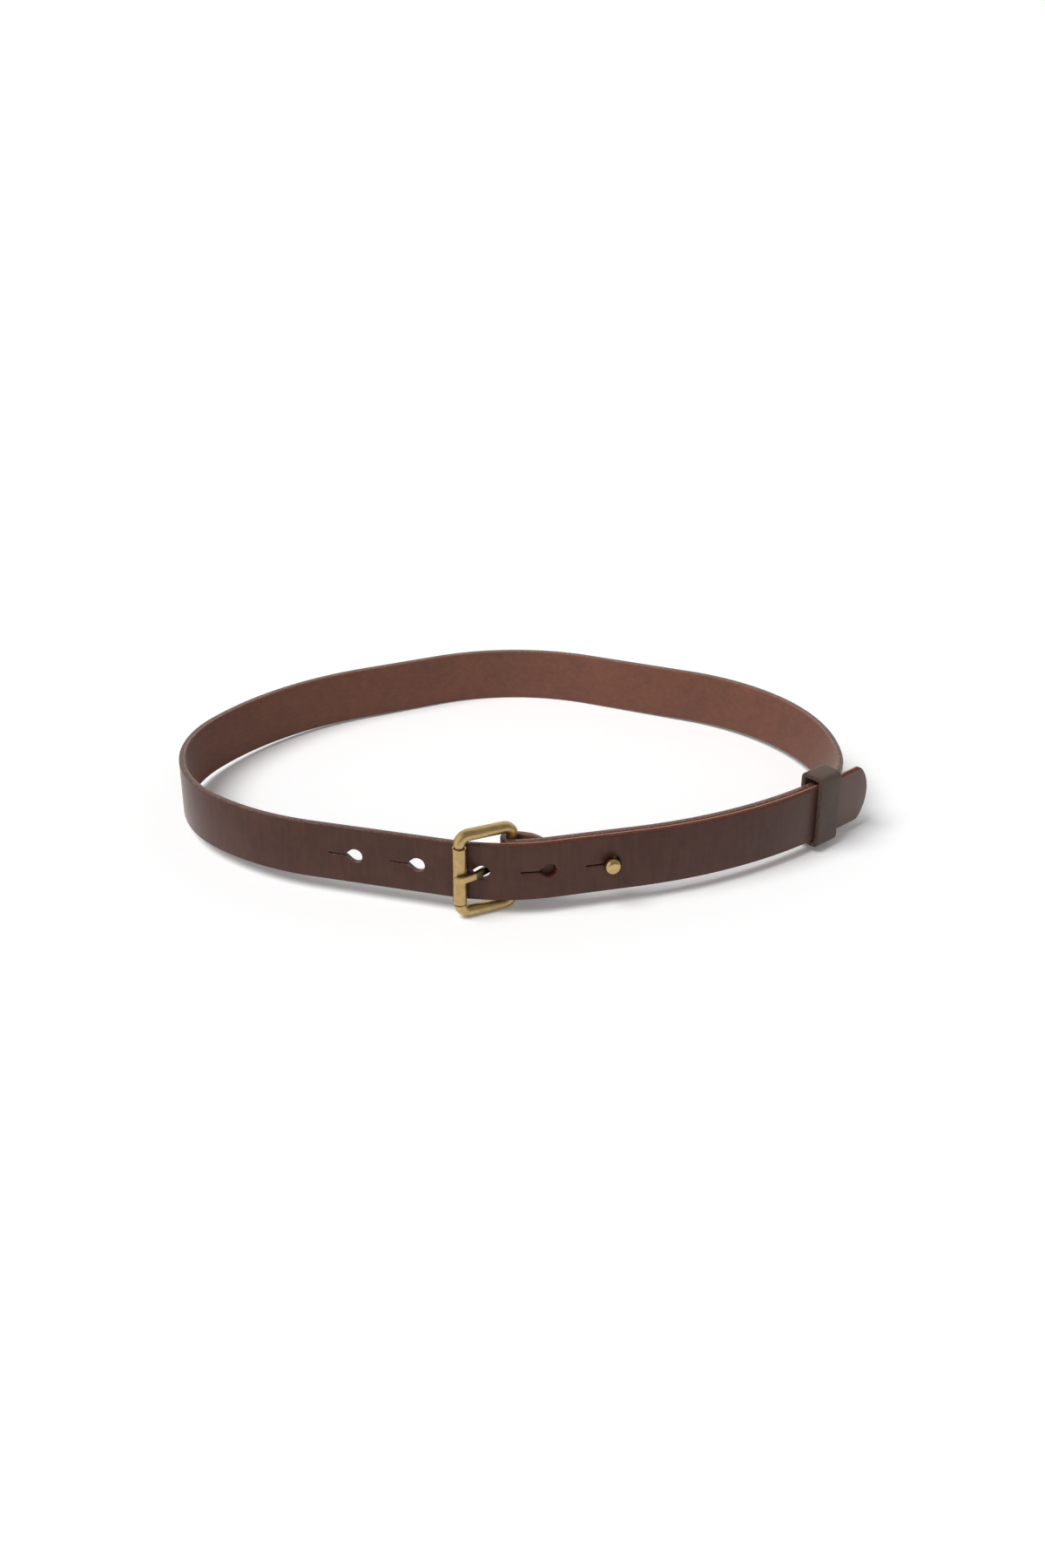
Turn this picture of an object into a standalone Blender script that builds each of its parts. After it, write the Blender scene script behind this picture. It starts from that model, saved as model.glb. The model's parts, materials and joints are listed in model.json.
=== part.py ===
"""Leather belt, buckled up and standing on its lower edge.

The strap is one piece of leather. It is cut and punched flat, skived thinner where it turns round the
buckle's heel bar, and then laid along its course: back along the inside as a short, narrower flap, once round
the waist, behind the roller, over the prong and the turned end, and through the keeper to the free tip.

The course is written in lap coordinates: a distance along the waist line, counted anticlockwise from the
crown at the front, and a distance inward from that line. The waist line is the middle of the outer layer.
Units are metres and degrees. +X runs to the right of the buckle, +Y to the back of the waist, +Z up.
"""

from bisect import bisect_right
from math import asin, atan2, ceil, cos, degrees, pi, radians, sin, sqrt, tan

import bmesh
import bpy
from mathutils import Matrix, Vector

# ---- leather -------------------------------------------------------------------------------------------
STRAP_WIDTH = 0.030
LEATHER = 0.0034
EDGE_BEVEL = 0.0005
FOLD_LEATHER = 0.0030  # skived, where the strap turns round the heel bar
FLAP_END_LEATHER = 0.0014
FLAP_SHOULDER_START = 0.011  # from the middle of the fold to where the flap starts to narrow
FLAP_SHOULDER_END = 0.025
FLAP_WIDTH = 0.020  # past its shoulders
FLAP_CORNER_RADIUS = 0.006
FLAP_LENGTH = 0.054  # from the heel bar to the end of the turned-in flap
SKIVE_LENGTH = 0.020  # full thickness to the thickness of the fold
LAY_GAP = 0.0002  # between two layers of the strap
FIT_GAP = 0.0003  # between pieces that touch on the real belt
TIP_BEYOND_FIRST_HOLE = 0.157
TIP_BULGE = 0.0067  # how far the round of the tip stands out past its corners
TIP_CORNER_RADIUS = 0.004

# ---- keyholes ------------------------------------------------------------------------------------------
HOLE_COUNT = 5
HOLE_PITCH = 0.03175
HOLE_DIAMETER = 0.0073
HOLE_TAPER_REACH = 0.0057  # middle of the hole to the point that it tapers to, away from the tip
SLIT_LENGTH = 0.0087  # past the taper
SLIT_WIDTH = 0.0008
PRONG_HOLE = 3  # counted from the tip; the stud is in the first
PRONG_HOLE_TO_HEEL = 0.01435

# ---- waist line ----------------------------------------------------------------------------------------
CROWN_RADIUS = 0.097
CROWN_END = 14.2  # heading in degrees where each stretch ends, from 0 at the crown
FRONT_RIGHT_RUN = 0.042
OVERLAP_RADIUS = 0.235
OVERLAP_END = 42.0
RIGHT_END_RADIUS = 0.0372
RIGHT_END_END = 86.6
RIGHT_BACK_RADIUS = 0.1155
RIGHT_BACK_END = 157.6
BACK_RADIUS = 0.1134
BACK_END = 203.8
LEFT_BACK_RADIUS = 0.163
LEFT_BACK_END = 240.5
LEFT_END_RADIUS = 0.0723
LEFT_END_END = 317.4
LEFT_FRONT_RADIUS = 0.1294
LEFT_FRONT_END = 344.2
FRONT_LEFT_RUN = 0.070
LANDING = 0.110  # past the overlap, the inner layer moves out to the waist line over this length

# ---- buckle --------------------------------------------------------------------------------------------
BUCKLE_CLEARANCE = 0.0051  # opening less strap width
BUCKLE_REACH = 0.0271  # heel axis to roller axis
BUCKLE_LIFT = 0.0002  # middle of the buckle above the middle of the strap
CROWN_TO_HEEL = 0.0039
BAR_DIAMETER = 0.0059
HEEL_DIAMETER = 0.0050
AXLE_DIAMETER = 0.0045  # the front bar where the roller turns on it
BAR_CORNER_RADIUS = 0.0048
ROLLER_DIAMETER = 0.0067
ROLLER_WALL = 0.0008
ROLLER_SEAM = 0.0004
ROLLER_LENGTH = 0.0300
ROLLER_DROP = 0.0004  # middle of the roller below the middle of the buckle
ROLLER_EDGE = 0.0002
SHOULDER_GAP = 0.0003  # from the roller's or the strap's edge to the full bar
SHOULDER_LENGTH = 0.0003

# ---- prong ---------------------------------------------------------------------------------------------
PRONG_WIDTH = 0.0034
PRONG_THICKNESS = 0.0022
PRONG_TIP_THICKNESS = 0.0017
PRONG_EYE_TURN = 285.0
PRONG_RAMP = 56.0  # steepness through the strap
PRONG_RISE = 0.0046  # past the middle of the strap before it turns to the roller
PRONG_SHIFT = 0.0003  # towards the heel from the middle of its keyhole
PRONG_DROP = 0.0004  # middle of the prong below the middle of the buckle
PRONG_BEND_RADIUS = 0.0016
PRONG_TIP_WRAP = 60.0  # past the point where it meets the roller
PRONG_EDGE = 0.0005
SLOT_CLEARANCE = 0.0009  # each side of the prong in the strap's fold

# ---- stud ----------------------------------------------------------------------------------------------
STUD_FROM_HOLE = 0.0015  # from the middle of its keyhole towards the slit
STUD_HEAD_DIAMETER = 0.0082
STUD_HEAD_HEIGHT = 0.0052
STUD_CROWN_DIAMETER = 0.0046  # the flat on the head
STUD_NECK_DIAMETER = 0.0040
STUD_FLANGE_DIAMETER = 0.0090
STUD_FLANGE_THICKNESS = 0.0010
STUD_BARREL_LENGTH = 0.0034
STUD_BORE_DIAMETER = 0.0030
SCREW_SHANK_DIAMETER = 0.0024
SCREW_SHANK_LENGTH = 0.0028
SCREW_HEAD_DIAMETER = 0.0085
SCREW_HEAD_HEIGHT = 0.0014
SCREW_SLOT_WIDTH = 0.0012
SCREW_SLOT_DEPTH = 0.0007

# ---- keeper --------------------------------------------------------------------------------------------
KEEPER_WIDTH = 0.015
KEEPER_LEATHER = 0.0026
KEEPER_FROM_TIP = 0.0350  # end of the tip to the middle of the keeper
KEEPER_SLACK = 0.0008  # each side of the two layers
KEEPER_FOOTROOM = 0.0006  # under the strap
KEEPER_HEADROOM = 0.0034  # over the strap
KEEPER_CORNER_RADIUS = 0.0032
KEEPER_EDGE = 0.0003
KEEPER_SEAM_WIDTH = 0.0006
KEEPER_SEAM_DEPTH = 0.0010

# ---- facets --------------------------------------------------------------------------------------------
STATION_TURN = 4.5  # degrees between two cross-cuts of the strap
STATION_LENGTH = 0.016
FOLD_STATIONS = 12
STATION_LEAST = 0.002
CORNER_FACETS = 6


def clear_scene():
    for item in list(bpy.data.objects):
        bpy.data.objects.remove(item, do_unlink=True)


def new_collection(name):
    collection = bpy.data.collections.new(name)
    bpy.context.scene.collection.children.link(collection)
    return collection


def new_material(name, colour, roughness, metallic):
    material = bpy.data.materials.new(name)
    material.use_nodes = True
    shader = material.node_tree.nodes["Principled BSDF"]
    shader.inputs["Base Color"].default_value = (*colour, 1.0)
    shader.inputs["Roughness"].default_value = roughness
    shader.inputs["Metallic"].default_value = metallic
    material.diffuse_color = (*colour, 1.0)
    return material


def new_object(name, data, collection, parent=None, material=None, place=None):
    item = bpy.data.objects.new(name, data)
    collection.objects.link(item)
    item.parent = parent
    item.matrix_local = place or Matrix()
    if material:
        item.data.materials.append(material)
    return item


def new_empty(name, collection, parent, place):
    empty = new_object(name, None, collection, parent, place=place)
    empty.empty_display_size = 0.01
    return empty


def unit(heading):
    """The plan direction of a heading in degrees."""
    return Vector((cos(radians(heading)), sin(radians(heading))))


def left_of(direction):
    return Vector((-direction.y, direction.x))


def ease(share):
    """0 to 1 with a level start and end."""
    share = min(max(share, 0.0), 1.0)
    return share * share * (3.0 - 2.0 * share)


class WaistLine:
    """A closed plan line of runs and arcs. Its two back runs take the lengths that close it."""

    def __init__(self):
        arcs = [
            (CROWN_RADIUS, 0.0, CROWN_END),
            (FRONT_RIGHT_RUN, CROWN_END, CROWN_END),
            (OVERLAP_RADIUS, CROWN_END, OVERLAP_END),
            (RIGHT_END_RADIUS, OVERLAP_END, RIGHT_END_END),
            (RIGHT_BACK_RADIUS, RIGHT_END_END, RIGHT_BACK_END),
            (0.0, RIGHT_BACK_END, RIGHT_BACK_END),
            (BACK_RADIUS, RIGHT_BACK_END, BACK_END),
            (0.0, BACK_END, BACK_END),
            (LEFT_BACK_RADIUS, BACK_END, LEFT_BACK_END),
            (LEFT_END_RADIUS, LEFT_BACK_END, LEFT_END_END),
            (LEFT_FRONT_RADIUS, LEFT_END_END, LEFT_FRONT_END),
            (FRONT_LEFT_RUN, LEFT_FRONT_END, LEFT_FRONT_END),
            (CROWN_RADIUS, LEFT_FRONT_END, 360.0),
        ]
        gap = sum((self.chord(arc) for arc in arcs), Vector((0.0, 0.0)))
        right, left = unit(RIGHT_BACK_END), unit(BACK_END)
        cross = right.x * left.y - right.y * left.x
        right_run = (gap.y * left.x - gap.x * left.y) / cross
        left_run = (gap.x * right.y - gap.y * right.x) / cross
        arcs[5] = (right_run, RIGHT_BACK_END, RIGHT_BACK_END)
        arcs[7] = (left_run, BACK_END, BACK_END)
        self.stretches = []
        place, start = Vector((0.0, 0.0)), 0.0
        for arc in arcs:
            size, heading, heading_end = arc
            length = size * radians(heading_end - heading) if heading_end != heading else size
            self.stretches.append((start, length, place.copy(), arc))
            place += self.chord(arc)
            start += length
        self.length = start
        self.crown_right = self.stretches[1][0]
        self.overlap_start = self.stretches[2][0]
        self.overlap_end = self.stretches[3][0]
        self.right_end_end = self.stretches[4][0]

    @staticmethod
    def chord(arc):
        size, heading, heading_end = arc
        if heading_end == heading:
            return unit(heading) * size
        return (left_of(unit(heading)) - left_of(unit(heading_end))) * size

    def at(self, lap):
        """The point and heading at a distance along the line."""
        lap %= self.length
        for start, length, place, (size, heading, heading_end) in reversed(self.stretches):
            if lap >= start:
                break
        if heading_end == heading:
            return place + unit(heading) * (lap - start), heading
        here = heading + degrees((lap - start) / size)
        return place + (left_of(unit(heading)) - left_of(unit(here))) * size, here

    def point(self, lap, inward):
        place, heading = self.at(lap)
        return place + left_of(unit(heading)) * inward

    def overlap_centre(self):
        """The centre of the arc that the keeper slides along."""
        return self.point(self.overlap_end, OVERLAP_RADIUS)

    def breaks(self, first, last):
        """Distances that cut the line between two places into short, evenly turned lengths."""
        cuts = [first]
        for turn in range(-1, 3):
            for start, length, _, (_, heading, heading_end) in self.stretches:
                count = max(ceil(length / STATION_LENGTH), ceil((heading_end - heading) / STATION_TURN))
                for step in range(count):
                    cut = turn * self.length + start + length * step / count
                    if first + STATION_LEAST < cut < last - STATION_LEAST:
                        cuts.append(cut)
        return cuts + [last]


class Layout:
    """Where the strap, the buckle, the stud and the keeper lie on the waist line."""

    def __init__(self, line):
        self.line = line
        self.heel_lap = CROWN_TO_HEEL
        self.prong_lap = self.heel_lap - PRONG_HOLE_TO_HEEL
        first_hole_lap = self.prong_lap + (PRONG_HOLE - 1) * HOLE_PITCH
        self.stud_lap = first_hole_lap - STUD_FROM_HOLE
        self.tip_lap = first_hole_lap + TIP_BEYOND_FIRST_HOLE
        self.keeper_lap = self.tip_lap - KEEPER_FROM_TIP
        self.flap_lap = self.heel_lap + FLAP_LENGTH
        self.fold_radius = HEEL_DIAMETER / 2 + FIT_GAP + FOLD_LEATHER / 2
        self.heel_inward = LEATHER / 2 + LAY_GAP + FOLD_LEATHER + FIT_GAP + HEEL_DIAMETER / 2
        self.heel = line.point(self.heel_lap, self.heel_inward)
        self.roller = self.find_roller()
        self.middle = STRAP_WIDTH / 2
        self.buckle_middle = self.middle + BUCKLE_LIFT

    def find_roller(self):
        """The roller lies on the outer face at the buckle's reach from the heel, found by halving."""
        near, far = self.heel_lap - BUCKLE_REACH / 2, self.heel_lap - BUCKLE_REACH * 2
        outward = LEATHER / 2 + FIT_GAP + ROLLER_DIAMETER / 2
        for _ in range(60):
            lap = (near + far) / 2
            place = self.line.point(lap, -outward)
            if (place - self.heel).length < BUCKLE_REACH:
                near = lap
            else:
                far = lap
        return place

    def main_thickness(self, lap):
        return FOLD_LEATHER + (LEATHER - FOLD_LEATHER) * ease((lap - self.heel_lap) / SKIVE_LENGTH)

    def main_inward(self, lap):
        """The middle of the layer that starts at the fold."""
        inward = LEATHER / 2 + LAY_GAP + self.main_thickness(lap) / 2
        return inward * (1.0 - ease((lap - self.line.overlap_end) / LANDING))

    def flap_thickness(self, lap):
        share = (lap - self.heel_lap) / FLAP_LENGTH
        return FOLD_LEATHER + (FLAP_END_LEATHER - FOLD_LEATHER) * share

    def flap_inward(self, lap):
        """The flap leaves the bar one fold radius in, and closes on the main layer."""
        lying = self.main_inward(lap) + self.main_thickness(lap) / 2 + LAY_GAP + self.flap_thickness(lap) / 2
        close = ease((lap - self.heel_lap) / SKIVE_LENGTH)
        return (self.heel_inward + self.fold_radius) * (1.0 - close) + lying * close

    def stations(self):
        """The strap's course as (place, thickness) from the end of the flap to the end of the tip.

        With it come the numbers of the stations in the middle of the fold and at the prong's keyhole.
        """
        line = self.line
        course = []
        for lap in reversed(line.breaks(self.heel_lap, self.flap_lap)):
            course.append((line.point(lap, self.flap_inward(lap)), self.flap_thickness(lap)))
        fold = len(course) - 1 + FOLD_STATIONS // 2
        inward = line.at(self.heel_lap)[1] + 90.0
        for step in range(1, FOLD_STATIONS):
            swing = unit(inward + 180.0 * step / FOLD_STATIONS)
            course.append((self.heel + swing * self.fold_radius, FOLD_LEATHER))
        full = line.length + self.prong_lap
        for lap in line.breaks(self.heel_lap, full):
            course.append((line.point(lap, self.main_inward(lap)), self.main_thickness(lap)))
        to_prong = len(course) - 1
        bend = line.length + line.overlap_end
        for lap in line.breaks(full, bend)[1:]:
            course.append((line.point(lap, 0.0), LEATHER))
        place, heading = line.at(bend)
        course.append((place + unit(heading) * (self.tip_lap - line.overlap_end), LEATHER))
        return course, fold, to_prong


class Bend:
    """Takes a point of the flat blank to its place on the course."""

    def __init__(self, course):
        self.places = [place for place, _ in course]
        self.thickness = [thick for _, thick in course]
        self.along = [0.0]
        for before, after in zip(self.places, self.places[1:]):
            self.along.append(self.along[-1] + (after - before).length)
        self.length = self.along[-1]
        self.across = []
        for index in range(len(self.places)):
            before = self.places[max(index - 1, 0)]
            after = self.places[min(index + 1, len(self.places) - 1)]
            self.across.append(left_of((after - before).normalized()))

    def station(self, distance):
        """The station before a distance along the blank, and the share of the way to the next."""
        index = min(max(bisect_right(self.along, distance) - 1, 0), len(self.along) - 2)
        return index, (distance - self.along[index]) / (self.along[index + 1] - self.along[index])

    def place(self, distance, flesh):
        """flesh runs from -1 at the outer face to 1 at the flesh side."""
        index, share = self.station(distance)
        near = self.places[index] + self.across[index] * flesh * self.thickness[index] / 2
        far = self.places[index + 1] + self.across[index + 1] * flesh * self.thickness[index + 1] / 2
        return near.lerp(far, share)

    def nearest(self, target, first, last):
        """The distance along the blank that comes nearest a plan point, between two stations."""
        gaps = []
        for index in range(first, last):
            near, far = self.places[index], self.places[index + 1]
            step = far - near
            share = min(max((target - near).dot(step) / step.length_squared, 0.0), 1.0)
            gaps.append(((near + step * share - target).length, self.along[index] + step.length * share))
        return min(gaps)[1]


def evaluated_mesh(item):
    """The mesh of an object with its modifiers or its curve worked out."""
    bpy.context.view_layer.update()
    graph = bpy.context.evaluated_depsgraph_get()
    return bpy.data.meshes.new_from_object(item.evaluated_get(graph))


def curve_mesh(curve):
    """The mesh of a curve, through an object that is removed again."""
    guide = bpy.data.objects.new("guide", curve)
    bpy.context.scene.collection.objects.link(guide)
    mesh = evaluated_mesh(guide)
    bpy.data.objects.remove(guide, do_unlink=True)
    return mesh


def flat_curve(name, points, thickness, bevel=0.0):
    """A closed outline filled on both sides, with chamfered edges."""
    curve = bpy.data.curves.new(name, "CURVE")
    curve.dimensions = "2D"
    curve.fill_mode = "BOTH"
    curve.extrude = thickness / 2 - bevel
    curve.bevel_depth = bevel
    curve.bevel_resolution = 0
    curve.offset = -bevel
    add_spline(curve, points)
    return curve


def add_spline(curve, points):
    spline = curve.splines.new("POLY")
    spline.points.add(len(points) - 1)
    for slot, point in zip(spline.points, points):
        slot.co = (point[0], point[1], 0.0, 1.0)
    spline.use_cyclic_u = True


def weld(mesh, distance=0.000002):
    """Join the loose rims that a curve's caps leave, and join flat triangles into whole faces."""
    shape = bmesh.new()
    shape.from_mesh(mesh)
    bmesh.ops.remove_doubles(shape, verts=shape.verts, dist=distance)
    bmesh.ops.dissolve_limit(shape, angle_limit=radians(0.05), verts=shape.verts, edges=shape.edges)
    bmesh.ops.recalc_face_normals(shape, faces=shape.faces)
    shape.to_mesh(mesh)
    shape.free()
    return mesh


def turn_faces_out(mesh):
    shape = bmesh.new()
    shape.from_mesh(mesh)
    bmesh.ops.recalc_face_normals(shape, faces=shape.faces)
    shape.to_mesh(mesh)
    shape.free()


def smooth(mesh, angle):
    mesh.shade_smooth()
    mesh.set_sharp_from_angle(angle=radians(angle))


def arc_points(centre, radius, first, last, count):
    points = []
    for step in range(count + 1):
        points.append(centre + unit(first + (last - first) * step / count) * radius)
    return points


def blank_outline(length, fold):
    """The strap laid flat: a narrower flap, the full width, and a shallow round at the tip."""
    half, flap = STRAP_WIDTH / 2, FLAP_WIDTH / 2
    radius = (half * half + TIP_BULGE * TIP_BULGE) / (2 * TIP_BULGE)
    corner = TIP_CORNER_RADIUS
    middle = Vector((length - radius, 0.0))
    reach = sqrt((radius - corner) ** 2 - (half - corner) ** 2)
    turn = degrees(atan2(half - corner, reach))
    upper = middle + Vector((reach, half - corner))
    lower = middle + Vector((reach, corner - half))
    shoulders = fold - FLAP_SHOULDER_END, fold - FLAP_SHOULDER_START
    points = [Vector((shoulders[1], half)), Vector((shoulders[0], flap))]
    turned = FLAP_CORNER_RADIUS
    points += arc_points(Vector((turned, flap - turned)), turned, 90.0, 180.0, 5)
    points += arc_points(Vector((turned, turned - flap)), turned, 180.0, 270.0, 5)
    points += [Vector((shoulders[0], -flap)), Vector((shoulders[1], -half))]
    points += arc_points(lower, corner, -90.0, -turn, 4)
    points += arc_points(middle, radius, -turn, turn, 10)[1:-1]
    points += arc_points(upper, corner, turn, 90.0, 4)
    return points


def cutter(name, data, collection, place):
    item = new_object(name, data, collection, place=place)
    item.hide_render = True
    item.display_type = "WIRE"
    return item


def disc_mesh(name, radius, depth, sides):
    mesh = bpy.data.meshes.new(name)
    shape = bmesh.new()
    bmesh.ops.create_cone(
        shape, cap_ends=True, segments=sides, radius1=radius, radius2=radius, depth=depth,
        matrix=Matrix.Rotation(pi / sides, 4, "Z"))
    shape.to_mesh(mesh)
    shape.free()
    return mesh


def keyhole_outline():
    """A round hole that tapers into a slit, which runs to -X."""
    radius, half = HOLE_DIAMETER / 2, SLIT_WIDTH / 2
    taper = asin(radius / HOLE_TAPER_REACH)
    leaves = 90.0 + degrees(taper)
    throat = half / tan(taper) - HOLE_TAPER_REACH
    end = throat - SLIT_LENGTH
    points = arc_points(Vector((0.0, 0.0)), radius, -leaves, leaves, 18)
    points += [Vector((throat, half)), Vector((end, half))]
    return points + [Vector((end, -half)), Vector((throat, -half))]


def slot_outline(half_length, half_width):
    ends = half_length - half_width
    points = arc_points(Vector((ends, 0.0)), half_width, -90.0, 90.0, 8)
    return points + arc_points(Vector((-ends, 0.0)), half_width, 90.0, 270.0, 8)


def punch(blank, tools):
    """Cut every tool out of the blank and keep the plain result."""
    for tool in tools:
        cut = blank.modifiers.new(tool.name, "BOOLEAN")
        cut.operation = "DIFFERENCE"
        cut.solver = "EXACT"
        cut.object = tool
    mesh = evaluated_mesh(blank)
    for item in [blank, *tools]:
        bpy.data.objects.remove(item, do_unlink=True)
    return mesh


def prong_eye_radius():
    """The middle of the prong's wall round the heel bar."""
    return HEEL_DIAMETER / 2 + FIT_GAP + PRONG_THICKNESS / 2


def make_strap(layout, bodies, cutters, ring, leather):
    """The flat blank is punched, and then every point of it goes to its place on the course."""
    course, fold, to_prong = layout.stations()
    bend = Bend(course)
    blank = cutter("blank", blank_mesh(bend, bend.along[fold]), cutters, Matrix())
    mesh = punch(blank, strap_tools(layout, bend, fold, to_prong, cutters))
    mesh.name = "strap"
    for vertex in mesh.vertices:
        along, up, flesh = vertex.co
        plan = bend.place(along, 2.0 * flesh / LEATHER)
        vertex.co = (plan.x, plan.y, up + layout.middle)
    turn_faces_out(mesh)
    smooth(mesh, 30.0)
    return new_object("strap", mesh, bodies, ring, leather)


def blank_mesh(bend, fold):
    """The strap's outline with its chamfered edges, cut across at every station so that it can bend there."""
    curve = flat_curve("blank", blank_outline(bend.length, fold), LEATHER, EDGE_BEVEL)
    mesh = weld(curve_mesh(curve))
    shape = bmesh.new()
    shape.from_mesh(mesh)
    for distance in bend.along[1:-1]:
        geometry = shape.verts[:] + shape.edges[:] + shape.faces[:]
        bmesh.ops.bisect_plane(
            shape, geom=geometry, dist=0.0000005, plane_co=(distance, 0.0, 0.0), plane_no=(1.0, 0.0, 0.0))
    shape.to_mesh(mesh)
    shape.free()
    return mesh


def strap_tools(layout, bend, fold, to_prong, cutters):
    """The punches: five keyholes, the prong's slot in the fold, and the stud's holes and pocket."""
    through = LEATHER * 2
    tools = []
    first_hole = bend.along[to_prong] + (PRONG_HOLE - 1) * HOLE_PITCH
    for number in range(HOLE_COUNT):
        punch_mesh = weld(curve_mesh(flat_curve("keyhole", keyhole_outline(), through)))
        spot = Matrix.Translation((first_hole - number * HOLE_PITCH, 0.0, 0.0))
        tools.append(cutter(f"keyhole_{number + 1}", punch_mesh, cutters, spot))

    eye_reach = prong_eye_radius() + PRONG_THICKNESS / 2 + SLOT_CLEARANCE
    outline = slot_outline(pi * layout.fold_radius / 2 + eye_reach, PRONG_WIDTH / 2 + SLOT_CLEARANCE)
    punch_mesh = weld(curve_mesh(flat_curve("prong_slot", outline, through)))
    spot = Matrix.Translation((bend.along[fold], BUCKLE_LIFT - PRONG_DROP, 0.0))
    tools.append(cutter("prong_slot", punch_mesh, cutters, spot))

    on_main = layout.line.point(layout.stud_lap, layout.main_inward(layout.stud_lap))
    on_flap = layout.line.point(layout.stud_lap, layout.flap_inward(layout.stud_lap))
    main_spot = bend.nearest(on_main, fold + FOLD_STATIONS // 2, to_prong)
    flap_spot = bend.nearest(on_flap, 0, fold - FOLD_STATIONS // 2)
    for name, spot in (("main_stud_hole", main_spot), ("flap_stud_hole", flap_spot)):
        punch_mesh = disc_mesh(name, STUD_NECK_DIAMETER / 2 + FIT_GAP, through, 20)
        tools.append(cutter(name, punch_mesh, cutters, Matrix.Translation((spot, 0.0, 0.0))))
    depth = STUD_FLANGE_THICKNESS + 2 * FIT_GAP - LAY_GAP
    punch_mesh = disc_mesh("stud_pocket", STUD_FLANGE_DIAMETER / 2 + FIT_GAP, depth * 2, 24)
    spot = Matrix.Translation((main_spot, 0.0, -LEATHER / 2))
    tools.append(cutter("stud_pocket", punch_mesh, cutters, spot))
    return tools


# ---- buckle --------------------------------------------------------------------------------------------
def frame_point(walk):
    """A point of the upper half of the bar's middle, walked from the middle of the heel bar to the axle's."""
    end = (STRAP_WIDTH + BUCKLE_CLEARANCE + BAR_DIAMETER) / 2 - BAR_CORNER_RADIUS
    quarter = BAR_CORNER_RADIUS * pi / 2
    across = BUCKLE_REACH - 2 * BAR_CORNER_RADIUS
    if walk <= end:
        return Vector((0.0, walk))
    if walk <= end + quarter:
        turn = 180.0 - degrees((walk - end) / BAR_CORNER_RADIUS)
        return Vector((BAR_CORNER_RADIUS, end)) + unit(turn) * BAR_CORNER_RADIUS
    if walk <= end + quarter + across:
        return Vector((walk - end - quarter + BAR_CORNER_RADIUS, end + BAR_CORNER_RADIUS))
    if walk <= end + 2 * quarter + across:
        turn = 90.0 - degrees((walk - end - quarter - across) / BAR_CORNER_RADIUS)
        return Vector((BUCKLE_REACH - BAR_CORNER_RADIUS, end)) + unit(turn) * BAR_CORNER_RADIUS
    return Vector((BUCKLE_REACH, 2 * (end + quarter) + across - walk))


def walk_to(height):
    """How far from the middle of a bar all of the bar is past a height, on the inside of the corner too."""
    end = (STRAP_WIDTH + BUCKLE_CLEARANCE + BAR_DIAMETER) / 2 - BAR_CORNER_RADIUS
    if height <= end:
        return height
    inside = BAR_CORNER_RADIUS - BAR_DIAMETER / 2
    return end + BAR_CORNER_RADIUS * asin(min((height - end) / inside, 1.0))


def make_frame(bodies, pivot, brass):
    """A ring of round bar, turned down between shoulders where the strap and the roller go round it."""
    end = (STRAP_WIDTH + BUCKLE_CLEARANCE + BAR_DIAMETER) / 2 - BAR_CORNER_RADIUS
    quarter = BAR_CORNER_RADIUS * pi / 2
    far_corner = end + quarter + BUCKLE_REACH - 2 * BAR_CORNER_RADIUS
    whole = far_corner + quarter + end
    heel_shoulder = walk_to(STRAP_WIDTH / 2 + BUCKLE_LIFT + SHOULDER_GAP)
    axle_shoulder = whole - walk_to(ROLLER_LENGTH / 2 + ROLLER_DROP + SHOULDER_GAP)
    heel, axle = HEEL_DIAMETER / BAR_DIAMETER, AXLE_DIAMETER / BAR_DIAMETER
    steps = [(heel_shoulder, heel), (heel_shoulder + SHOULDER_LENGTH, 1.0),
             (axle_shoulder - SHOULDER_LENGTH, 1.0), (axle_shoulder, axle)]
    for start in (end, far_corner):
        for index in range(CORNER_FACETS + 1):
            walk = start + quarter * index / CORNER_FACETS
            if heel_shoulder + 2 * SHOULDER_LENGTH < walk < axle_shoulder - 2 * SHOULDER_LENGTH:
                steps.append((walk, 1.0))
            elif walk < heel_shoulder - SHOULDER_LENGTH:
                steps.append((walk, heel))
            elif walk > axle_shoulder + SHOULDER_LENGTH:
                steps.append((walk, axle))
    steps.sort()
    upper = [(frame_point(walk), share) for walk, share in steps]
    points = [(place.x, 0.0, place.y) for place, _ in upper]
    points += [(place.x, 0.0, -place.y) for place, _ in reversed(upper)]
    shares = [share for _, share in upper]
    shares += reversed(shares)

    curve = bpy.data.curves.new("buckle_frame", "CURVE")
    curve.dimensions = "3D"
    curve.fill_mode = "FULL"
    curve.bevel_depth = BAR_DIAMETER / 2
    curve.bevel_resolution = 4
    spline = curve.splines.new("POLY")
    spline.points.add(len(points) - 1)
    for slot, point, share in zip(spline.points, points, shares):
        slot.co = (*point, 1.0)
        slot.radius = share
    spline.use_cyclic_u = True
    mesh = curve_mesh(curve)
    turn_faces_out(mesh)
    smooth(mesh, 40.0)
    return new_object("buckle_frame", mesh, bodies, pivot, brass)


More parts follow.
